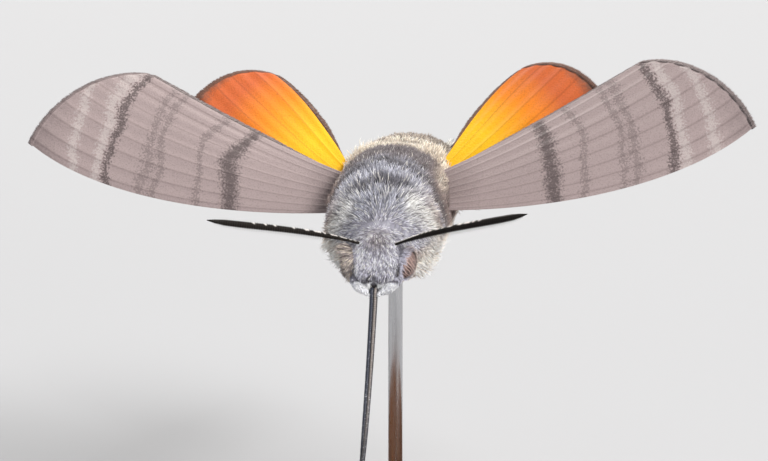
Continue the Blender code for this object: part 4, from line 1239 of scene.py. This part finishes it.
class MOTH_OT_antennae(bpy.types.Operator):
    """Makes the antennae: thin at the root, clubbed past the middle, ringed, with a comb of teeth."""

    bl_idname = "moth.antennae"
    bl_label = "Antennae"

    def execute(self, context):
        head = context.scene.moth_head
        finish = horn_finish("antenna horn", 0.5, 0.18)
        turn, _ = head_matrix()
        dark, pale = colours(head, "antenna", "antenna_painted_sheen")
        club = head.antenna_club / MM
        steps = SEGMENT_RINGS
        for side, sign in SIDES:
            rng = np.random.default_rng(131 + sign)
            rise = ANTENNA_RISE[side]
            ahead = np.array([math.cos(ANTENNA_FORWARD), -math.sin(ANTENNA_FORWARD), 0.0])
            reach = turn @ mirrored(ahead * math.cos(rise) + UP * math.sin(rise), sign)
            root = in_head(mirrored(ANTENNA_ROOT, sign))
            t = np.linspace(-0.05, 1.0, ANTENNA_SEGMENTS * steps + 1)[:, None]
            arch = turn @ np.array([0, 0, ANTENNA_ARCH])
            path = root + reach * ANTENNA_LENGTH * t + arch * 4 * t * (1 - t) ** 2
            radius = np.interp(t[:, 0], ANTENNA_PLACES, ANTENNA_SIZES * club)
            phase = (np.arange(len(t)) % steps) / steps
            radius = radius * (0.8 + 0.36 * phase)
            lines, across, up = path_frame(path, UP)
            grid = rings(path, across, up, radius, radius * 0.85, radius * 0.85, 16)
            facing = np.cos(np.arange(16) * math.tau / 16)
            tints = np.broadcast_to(dark, grid.shape) * rng.uniform(0.7, 1.5, (len(t), 1, 1))
            patchy = rng.random((ANTENNA_SEGMENTS + 1, 1)).repeat(steps, 0)[: len(t)]
            # Pale line along the top of each antenna: a painted highlight, broken and fading outwards
            line = smooth_step(facing[None, :], 0.75, 0.95) * (patchy > 0.15 + 1.1 * t)
            tints = shaded(tints, pale, line)
            parts = [capped_tube(grid, tints)]
            toothed = (field[::steps][4:-3] for field in (path, lines, across, radius))
            centre, along, over, ring_radius = toothed
            for angle in np.radians(TOOTH_DEGREES):
                out = np.cross(along, over) * math.sin(angle) - over * math.cos(angle)
                point = centre + out * ring_radius[:, None] * 0.75
                count = len(point)
                roots = Roots(point, out, along, np.linspace(0, 1, count), np.full(count, 0.5))
                tints = np.tile(dark * 0.8, (count, 1))
                long = ring_radius * np.linspace(*TOOTH_LENGTHS, count)
                teeth = tufts(roots, along, long, ring_radius * 0.24, 1.2, tints, settle=0.0)
                parts.append(teeth._replace(uv=None))
            make_piece("antenna_horn_" + side, parts, finish, ("antenna_" + side,))
        return {"FINISHED"}


class MOTH_OT_proboscis(bpy.types.Operator):
    """Makes the feeding tube from its two ringed halves, which lie side by side and twist below."""

    bl_idname = "moth.proboscis"
    bl_label = "Feeding tube"

    def execute(self, context):
        head = context.scene.moth_head
        mouth = in_head(MOUTH_PATH)
        forward = PROBOSCIS_FORWARD
        down = unit(np.array([math.sin(PROBOSCIS_LEAN), -math.sin(forward), -math.cos(forward)]))
        t = (np.arange(1, 7) / 6)[:, None]
        line = mouth[-1] + down * PROBOSCIS_RUN * t + PROBOSCIS_BOW * 4 * t * (1 - t)
        count = TUBE_RINGS
        path = even_path(smooth_rows(np.concatenate([mouth, line]), 12), count)
        t = np.linspace(0, 1, count)
        twist = TUBE_TURNS * math.tau * smooth_step(t, 0.35, 1.0) * (t - 0.3)
        _, across, up = path_frame(path, ACROSS)
        aside = across * np.cos(twist)[:, None] + up * np.sin(twist)[:, None]
        square = up * np.cos(twist)[:, None] - across * np.sin(twist)[:, None]
        half = np.interp(t, *TUBE_SIZES)
        ringed = 1 + 0.07 * np.sin(np.arange(count) * math.tau / RINGS_TO_A_RIB)
        slate, pink = colours(head, "tube_slate", "tube_pink")
        rng = np.random.default_rng(151)
        parts = []
        for way, colour in ((-1, slate), (1, pink)):
            centre = path + aside * (way * half * 0.78)[:, None]
            radius = half * ringed
            grid = rings(centre, aside, square, radius, radius * 1.12, radius * 1.12, 14)
            facing = np.cos(np.arange(14) * math.tau / 14) * way
            # Each half is darkened along its sides: painted shade at the seam between the halves and along
            # the outline
            edge = np.maximum(smooth_step(facing, 0.35, 0.8), smooth_step(-facing, 0.3, 0.8))
            base = shaded(colour, slate * 0.6, smooth_step(t, 0.2, 0.75))[:, None]
            edge = np.broadcast_to(edge, grid.shape[:2])
            tints = shaded(np.broadcast_to(base, grid.shape), slate * 0.35, edge)
            # White specks on the rings: painted glints
            painted_glints = (rng.random(grid.shape[:2]) < 0.02) * smooth_step(t, 0.1, 0.4)[:, None]
            parts.append(capped_tube(grid, shaded(tints, np.array([0.75, 0.75, 0.78]), painted_glints)))
        number = TUBE_BRISTLES
        at = np.sort(rng.integers(int(0.25 * count), int(0.8 * count), number))
        out = unit(-across[at] + up[at] * rng.uniform(-0.6, 0.6, (number, 1)))
        bristles = Roots(path[at] + out * (half[at] * 1.6)[:, None], out, down + 0 * out, t[at], t[at])
        long, pale = rng.uniform(0.12, 0.3, number), np.full((number, 3), 0.7)
        hairs = tufts(bristles, bristles.along - 0.1 * out, long, 0.018, 0.45, pale)
        parts.append(hairs._replace(uv=None))
        nodes = ("proboscis_upper", "proboscis_lower")
        make_piece("feeding_tube", parts, horn_finish("feeding tube", 0.34, 0.5), nodes)
        return {"FINISHED"}


def bezier(points, t):
    """Points of a cubic curve at shares t: the four points weighted by the Bernstein shares."""
    a, b, c, d = (np.array(point, float) for point in points)
    t = t[..., None]
    s = 1 - t
    return a * s**3 + b * 3 * s * s * t + c * 3 * s * t * t + d * t**3


def wing_plan(edges, s, v):
    """A Coons patch between the leading edge, the outer margin, the trailing edge and the root:
    the two ways of sweeping between opposite edges, added, less the flat patch of the corners."""
    costa, outer, inner = edges
    root = np.array(costa[0]) + (np.array(inner[0]) - np.array(costa[0])) * v[..., None]
    tip = np.array(costa[3]) + (np.array(outer[3]) - np.array(costa[3])) * v[..., None]
    along = bezier(costa, s) * (1 - v[..., None]) + bezier(inner, s) * v[..., None]
    across = root * (1 - s[..., None]) + bezier(outer, v) * s[..., None]
    return along + across - root * (1 - s[..., None]) - tip * s[..., None]


def wing_frame(side, sign, spread, back, below):
    """The axes of a flat wing (span, chord, upward) as rows, and its place in the body frame."""
    upright = np.array([0, math.sin(STROKE_TILT), math.cos(STROKE_TILT)])
    facing = np.array([0, -math.cos(STROKE_TILT), math.sin(STROKE_TILT)])
    rise = WING_RISE[side]
    span = ACROSS * sign * math.cos(rise) + upright * math.sin(rise)
    level = upright * math.cos(rise) - ACROSS * sign * math.sin(rise)
    chord = level * math.cos(WING_PITCH) - facing * math.sin(WING_PITCH)
    upper = np.cross(span, chord) * sign
    turned = span * math.cos(spread) + chord * math.sin(spread)
    behind = chord * math.cos(spread) - span * math.sin(spread)
    place = hinge_place(sign) + chord * back - upper * below
    return np.stack([turned, behind, upper]), place


def wing_sheet(edges, axes, place, s, v):
    """The middle of the wing at shares of span and chord: the plan, bowed up along span and chord."""
    plan = wing_plan(edges, s, v)
    reach = np.maximum(plan[..., 0], 0) / FOREWING_EDGES[0][3][0]
    bow = TIP_BEND * reach**2 + CAMBER * 4 * v * (1 - v) * np.minimum(1, 3 * reach)
    bow = bow + WASHOUT * plan[..., 1] * reach
    return place + np.concatenate([plan, bow[..., None]], -1) @ axes, plan


def wing_parts(edges, axes, place, veins, wings, stations, rows, seed):
    """A wing with both its faces, its veins raised, and a fringe of fine scales round its margin."""
    length = edges[0][3][0]
    s = np.linspace(0, WING_END, stations)[:, None] * np.ones(rows)
    v = np.ones(stations)[:, None] * (0.5 - 0.5 * np.cos(np.linspace(0, math.pi, rows)))
    v = v * WING_END + 0.004
    sheet, plan = wing_sheet(edges, axes, place, s, v)
    down, over = np.gradient(sheet, axis=0), np.gradient(sheet, axis=1)
    normal = unit(np.cross(down, over))
    ridge = sum(hill(v, vein, 0.012) for vein in veins) * (1 - 0.6 * s)
    folds = 0.03 * np.sin(v * math.tau * 9 + 1.3) * smooth_step(s, 0.1, 0.6)
    rim = np.clip(np.minimum(np.minimum(v, 1 - v) / 0.02, (WING_END - s) / 0.01), 0.25, 1)
    half = wings.membrane / MM / 2 * rim + wings.vein / MM * ridge
    offset = normal * half[..., None]
    middle = sheet + normal * folds[..., None]
    grid = np.concatenate([middle + offset, (middle - offset)[:, ::-1]], 1)
    radius = np.hypot(plan[..., 0], plan[..., 1] - BAND_CENTRE) / length
    uv = np.stack([radius, v], -1)
    uv = np.concatenate([uv, uv[:, ::-1]], 1)
    count, sides = grid.shape[:2]
    body = capped_tube(grid, None, uv)
    pair = np.arange(rows - 1)
    cap = np.stack([pair, pair + 1, sides - 2 - pair, sides - 1 - pair], -1)
    last = (count - 1) * sides
    quads = np.concatenate([body.quads, cap, (cap + last)[:, ::-1]])
    body = Part(body.points[:-2], quads, np.zeros((0, 3), int), None, body.uv[:-2])
    rng = np.random.default_rng(seed)
    margins = []
    for number, at_margin in ((MARGIN_SCALES, True), (REAR_SCALES, False)):
        share = (np.arange(number) + rng.random(number)) / number
        full = np.full(number, 0.98)
        here_s, here_v = (full, share) if at_margin else (0.12 + 0.86 * share, full)
        grown = smooth_step(here_s, 0.1, 0.5)
        point, flat = wing_sheet(edges, axes, place, here_s, here_v)
        nearer = wing_sheet(edges, axes, place, here_s - 0.01 * at_margin, here_v - 0.01 * (not at_margin))[0]
        aside = wing_sheet(edges, axes, place, here_s + 0.01 * (not at_margin), here_v + 0.01 * at_margin)[0]
        lie = unit(point - nearer) + axes[0] * 0.25
        roots = Roots(point, unit(np.cross(aside - point, lie)), unit(lie), share, share)
        length = wings.fringe / MM * grown * rng.uniform(0.7, 1.1, number)
        shape = tufts(roots, lie, length, 0.034, 0.05, np.ones((number, 3)), deep=0.3)
        reach = np.hypot(flat[:, 0], flat[:, 1] - BAND_CENTRE) / length
        margins.append(shape._replace(tint=None, uv=np.repeat(np.stack([reach, share], 1), 10, axis=0)))
    return [body, *margins]


def banded(plain, bands, end):
    """Stops of a plain colour crossed by bands of (middle, half width, colour), up to an end colour."""
    stops = [(0.0, end), (0.12, plain)]
    for middle, half_width, colour in bands:
        shares = ((-1.6, plain), (-0.4, colour), (0.4, colour), (1.6, plain))
        stops += [(middle + half_width * share, shade) for share, shade in shares]
    return [*stops, (1.0, end)]


def wing_finish(name, stops, veins, streak):
    """Wing scales: bands across the span, frayed by noise, streaked along the veins and finely grained."""
    recipe = Recipe(name, 0.62, Sheen_Weight=0.12, Specular_IOR_Level=0.35)
    plan = recipe.add("UVMap", uv_map="Plan").outputs["UV"]
    apart = recipe.add("SeparateXYZ")
    recipe.feed(apart.inputs[0], plan)
    fray = recipe.spread(recipe.noise(7000, 1.0), 0.25, 0.75, -0.016, 0.016)
    wander = recipe.spread(recipe.noise(260, 1.0), 0.25, 0.75, -0.022, 0.022)
    place = recipe.sum(recipe.sum(apart.outputs["X"], fray), wander)
    colour = recipe.ramp(place, stops)
    lines = [(0.0, (1, 1, 1))]
    for vein in veins:
        lines += [(vein - 0.012, (1, 1, 1)), (vein, (0.76, 0.74, 0.74)), (vein + 0.012, (1, 1, 1))]
    lines.append((1.0, (1, 1, 1)))
    colour = recipe.mix(1.0, colour, recipe.ramp(apart.outputs["Y"], lines), "MULTIPLY")
    lines = recipe.noise(60, 3.0, recipe.mapped(scale=(1, 6, 1), source=plan))
    grain = recipe.noise(11000, 2.0)
    streaks = recipe.spread(lines, 0.3, 0.7, 1 - streak, 1 + streak)
    shade = recipe.sum(streaks, recipe.spread(grain, 0.3, 0.7, 0.8, 1.2), "MULTIPLY")
    recipe.bump(recipe.cells(9000), 0.00003, 0.6)
    return recipe.paint(recipe.shaded(colour, shade))


class MOTH_OT_wings(bpy.types.Operator):
    """Makes the banded forewings and the orange hindwings as thin, veined sheets with fringes."""

    bl_idname = "moth.wings"
    bl_label = "Wings"

    def execute(self, context):
        wings = context.scene.moth_wings
        plain, pale, dark = colours(wings, "forewing", "forewing_painted_highlight", "forewing_dark")
        # The pale bands are painted highlights
        tints = {"pale": pale, "dark": dark, "soft": (plain + dark) / 2}
        bands = [(middle, half_width, tints[name]) for middle, half_width, name in FOREWING_BANDS]
        fore_stops = banded(plain, bands, tints["soft"])
        hind_stops = [(share, getattr(wings, name)) for share, name in HINDWING_STOPS]
        fore = wing_finish("forewing scales", fore_stops, FOREWING_VEINS, 0.14)
        hind = wing_finish("hindwing scales", hind_stops, HINDWING_VEINS, 0.08)
        for side, sign in SIDES:
            axes, place = wing_frame(side, sign, 0.0, 0.0, 0.0)
            parts = wing_parts(FOREWING_EDGES, axes, place, FOREWING_VEINS, wings, 130, 90, 171 + sign)
            make_piece("forewing_scales_" + side, parts, fore, ("forewing_" + side,))
            axes, place = wing_frame(side, sign, HINDWING_SPREAD, HINDWING_BACK, HINDWING_BELOW)
            parts = wing_parts(HINDWING_EDGES, axes, place, HINDWING_VEINS, wings, 100, 76, 181 + sign)
            make_piece("hindwing_scales_" + side, parts, hind, ("hindwing_" + side,))
        return {"FINISHED"}


class MOTH_OT_legs(bpy.types.Operator):
    """Makes the six legs, folded back: scaled thigh and shin, ringed foot, spurs and claws."""

    bl_idname = "moth.legs"
    bl_label = "Legs"

    def execute(self, context):
        coat = context.scene.moth_coat
        finish = fur_finish("leg scales")
        brown, cream = np.array(coat.abdomen) * 0.8, np.array(coat.chest)
        for side, sign in SIDES:
            for order, (name, points) in enumerate(LEG_PATHS.items()):
                rng = np.random.default_rng(211 + order * 2 + sign)
                path = np.array([mirrored(point, sign) for point in points])
                grid, middle = tube_grid(path, LEG_RADII, ACROSS, 16, LEG_RINGS)
                t = np.linspace(0, 1, LEG_RINGS)
                knots = 1 + 0.16 * (smooth_step(t, 0.66, 0.7)) * np.abs(np.sin(t * math.pi * 22))
                grid = middle[:, None] + (grid - middle[:, None]) * knots[:, None, None]
                base = shaded(cream, brown, smooth_step(t, 0.3, 0.5))
                # The leg skin is darkened by 0.7: painted shade under its scales
                parts = [capped_tube(grid, np.broadcast_to(base[:, None], grid.shape) * 0.7)]
                roots = turned_away(scatter(grid, LEG_HAIRS, np.ones(len(grid)), rng), grid, middle)
                count = len(roots.point)
                foot = smooth_step(roots.row, 0.6, 0.75)
                length = rng.uniform(0.3, 0.5, count) * (1 - 0.6 * foot)
                shade = shaded(cream, brown, smooth_step(roots.row, 0.3, 0.5))
                shade = shade * rng.uniform(0.7, 1.3, count)[:, None]
                scales = tufts(roots, roots.along, length, 0.035, np.radians(18), shade)
                parts.append(scales._replace(uv=None))
                along = unit(np.gradient(middle, axis=0))
                spots, long = [spot for spot, _ in SPURS], np.array([length for _, length in SPURS])
                aside = np.array([-0.2 * UP - 0.35 * ACROSS, -0.5 * UP + 0.35 * ACROSS])
                aim = along[spots] + np.tile(aside, (3, 1))
                spurs = Roots(middle[spots], np.tile(UP, (6, 1)), aim, np.zeros(6), np.zeros(6))
                claws = tufts(spurs, aim, long, 0.05, 0.0, np.tile(brown * 0.4, (6, 1)))
                parts.append(claws._replace(uv=None))
                make_piece(f"{name}_scales_{side}", parts, finish, (f"{name}_{side}",))
        return {"FINISHED"}


def turned(profile, sides):
    """Rings round the stand's own axis from a profile of (radius, height), in the body frame."""
    profile = np.asarray(profile, float)
    angle = np.arange(sides) * math.tau / sides
    circle = np.stack([np.cos(angle), np.sin(angle), np.zeros(sides)], -1)
    centre = np.stack([np.zeros(len(profile)), np.zeros(len(profile)), profile[:, 1]], -1) - BODY_PLACE
    return centre[:, None] + circle[None] * profile[:, :1, None]


def walnut_finish(stand):
    """Oiled walnut: long warped grain lines, darker pores and a quiet gloss."""
    recipe = Recipe("walnut", 0.4, Coat_Weight=0.15, Specular_IOR_Level=0.4)
    lengthwise = recipe.mapped(scale=(14, 1, 14), turn=(0, 0, 14))
    warp = recipe.noise(9, 6.0, lengthwise, 1.2)
    grain = recipe.noise(42, 5.0, lengthwise, 0.8)
    pores = recipe.noise(260, 2.0, recipe.mapped(scale=(9, 1, 9), turn=(0, 0, 14)))
    colour = recipe.mix(recipe.spread(grain, 0.35, 0.62), (*stand.walnut_dark, 1), (*stand.walnut, 1))
    colour = recipe.mix(recipe.spread(warp, 0.35, 0.7, 0.0, 0.6), colour, (*stand.walnut, 1))
    colour = recipe.mix(recipe.spread(pores, 0.6, 0.75, 0.0, 0.7), colour, (*stand.walnut_dark, 1))
    recipe.bump(pores, 0.00004, 0.35)
    return recipe.paint(colour)


def steel_finish(stand):
    """Brushed steel: a metal whose gloss is broken by fine lines along the rod."""
    recipe = Recipe("steel", 0.28, Metallic=1.0)
    lines = recipe.noise(6000, 3.0, recipe.mapped(scale=(1, 1, 0.05)))
    recipe.feed(recipe.shader.inputs["Roughness"], recipe.spread(lines, 0.3, 0.7, 0.2, 0.36))
    recipe.bump(lines, 0.000006, 0.5)
    worn = recipe.spread(lines, 0.3, 0.7, 0.0, 0.25)
    return recipe.paint(recipe.mix(worn, (*stand.steel, 1), (0.3, 0.3, 0.31, 1)))


class MOTH_OT_stand(bpy.types.Operator):
    """Makes the walnut base and the steel rod that holds the moth."""

    bl_idname = "moth.stand"
    bl_label = "Display stand"

    def execute(self, context):
        stand = context.scene.moth_stand
        low, high = (np.array(corner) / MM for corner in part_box("stand_base"))
        radius, height, edge = high[0], high[2], stand.edge / MM
        arc = np.linspace(0, math.pi / 2, 9)
        rim = [(radius - edge + edge * math.cos(a), height - edge + edge * math.sin(a)) for a in arc]
        foot = [(radius - 0.4, low[2]), (radius - 0.12, low[2] + 0.12), (radius, low[2] + 0.4)]
        inner = [(share * radius, height) for share in (0.9, 0.75, 0.55, 0.35, 0.15)]
        under = [(share * radius, low[2]) for share in (0.2, 0.5, 0.8)]
        base = capped_tube(turned([*under, *foot, *rim, *inner], 160))
        make_piece("base_wood", [base], walnut_finish(stand), ("stand_base",))
        thin = (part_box("stand_rod")[1][0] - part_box("stand_rod")[0][0]) / MM / 2
        top = BODY_PLACE[2] + THORAX_AXIS_Z - 3.7
        rod = [(thin, height + 0.02), (thin, top - 1.2), (thin * 0.9, top - 0.6), (thin * 0.6, top)]
        collar = [(wide, height + over) for wide, over in COLLAR]
        parts = [capped_tube(turned(shape, 48)) for shape in (rod, collar)]
        make_piece("rod_steel", parts, steel_finish(stand), ("stand_rod",))
        return {"FINISHED"}


def stage_finish(stand):
    """A matt pale sweep with the faintest mottle."""
    recipe = Recipe("stage", 0.85, Specular_IOR_Level=0.2)
    cloud = recipe.spread(recipe.noise(18, 2.0), 0.3, 0.7, 0.0, 0.05)
    return recipe.paint(recipe.mix(cloud, (*stand.floor, 1), (*[share * 0.9 for share in stand.floor], 1)))


def add_light(name, place, aim, power, across, colour):
    """A soft square light turned to face a point."""
    data = bpy.data.lights.new(name, "AREA")
    data.energy = power
    data.size = across
    data.color = colour
    light = bpy.data.objects.new(name, data)
    light.location = place
    light.rotation_mode = "QUATERNION"
    light.rotation_quaternion = (Vector(aim) - Vector(place)).to_track_quat("-Z", "Y")
    light.visible_camera = False
    bpy.context.scene.collection.objects.link(light)


class MOTH_OT_stage(bpy.types.Operator):
    """Makes the floor, the lights and the camera."""

    bl_idname = "moth.stage"
    bl_label = "Stage"

    def execute(self, context):
        scene = context.scene
        bend = np.linspace(0, math.pi / 2, 16)
        curve = np.stack([np.sin(bend), 1 - np.cos(bend)], 1) * SWEEP_RADIUS + [FLOOR_RADIUS, 0]
        profile = np.array([(0.02, 0.0), (0.5, 0.0), *curve, (FLOOR_RADIUS + SWEEP_RADIUS, SWEEP_HEIGHT)])
        radius, height = profile[:, :1], profile[:, 1:]
        angle = np.arange(FLOOR_SIDES) * math.tau / FLOOR_SIDES
        rows = np.stack(np.broadcast_arrays(radius * np.cos(angle), radius * np.sin(angle), height), -1)
        tube = closed_tube(rows, np.zeros(3), np.array([0, 0, SWEEP_HEIGHT]))
        mesh = bpy.data.meshes.new("floor")
        fans = tube.triangles[:FLOOR_SIDES][:, ::-1]
        mesh.from_pydata(tube.points[:-1].tolist(), [], tube.quads[:, ::-1].tolist() + fans.tolist())
        mesh.shade_smooth()
        mesh.materials.append(stage_finish(scene.moth_stand))
        floor = bpy.data.objects.new("floor", mesh)
        scene.collection.objects.link(floor)

        centre = BODY_PLACE * MM
        for name, (place, power, across, colour) in LIGHTS.items():
            add_light(name, place, centre, power, across, colour)
        world = bpy.data.worlds.new("studio")
        scene.world = world
        world.use_nodes = True
        sky = world.node_tree.nodes["Background"]
        sky.inputs["Color"].default_value = SKY_COLOUR
        sky.inputs["Strength"].default_value = SKY_STRENGTH
        scene.view_settings.view_transform = "Standard"

        right = Vector((math.cos(CAMERA_AZIMUTH), math.sin(CAMERA_AZIMUTH), 0))
        level = math.cos(CAMERA_ELEVATION)
        back = Vector((right.y * level, -right.x * level, math.sin(CAMERA_ELEVATION)))
        above = back.cross(right)
        aim = Vector(centre) + right * CAMERA_AIM[0] + above * CAMERA_AIM[1]
        data = bpy.data.cameras.new("camera")
        data.lens = CAMERA_LENS
        data.sensor_width = 36.0
        data.clip_start = 0.01
        data.clip_end = 20.0
        camera = bpy.data.objects.new("camera", data)
        facing = Matrix((right, above, back)).transposed().to_4x4()
        camera.matrix_world = Matrix.Translation(aim + back * CAMERA_DISTANCE) @ facing
        scene.collection.objects.link(camera)
        scene.camera = camera
        return {"FINISHED"}


OPERATORS = (
    MOTH_OT_stage,
    MOTH_OT_body_coat,
    MOTH_OT_side_tufts,
    MOTH_OT_tail_fan,
    MOTH_OT_eyes,
    MOTH_OT_palps,
    MOTH_OT_antennae,
    MOTH_OT_proboscis,
    MOTH_OT_wings,
    MOTH_OT_legs,
    MOTH_OT_stand,
)
SETTINGS = {
    "moth_coat": CoatSettings,
    "moth_head": HeadSettings,
    "moth_wings": WingSettings,
    "moth_stand": StandSettings,
}


class MOTH_PT_panel(bpy.types.Panel):
    """Lists the pieces and their settings in the sidebar."""

    bl_idname = "MOTH_PT_panel"
    bl_label = "Hawk moth"
    bl_space_type = "VIEW_3D"
    bl_region_type = "UI"
    bl_category = "Hawk moth"

    def draw(self, context):
        for operator in OPERATORS:
            self.layout.operator(operator.bl_idname)
        for group, kind in SETTINGS.items():
            box = self.layout.box()
            for setting in kind.__annotations__:
                box.prop(getattr(context.scene, group), setting)


def register():
    """Makes the settings, the operators and the panel known."""
    for kind in (*SETTINGS.values(), *OPERATORS, MOTH_PT_panel):
        bpy.utils.register_class(kind)
    for group, kind in SETTINGS.items():
        setattr(bpy.types.Scene, group, bpy.props.PointerProperty(type=kind))


def unregister():
    """Takes them away again."""
    for group in SETTINGS:
        delattr(bpy.types.Scene, group)
    for kind in reversed((*SETTINGS.values(), *OPERATORS, MOTH_PT_panel)):
        bpy.utils.unregister_class(kind)


def main():
    """Makes every piece in order."""
    register()
    for operator in OPERATORS:
        group, name = operator.bl_idname.split(".")
        getattr(getattr(bpy.ops, group), name)()


if __name__ == "__main__":
    main()
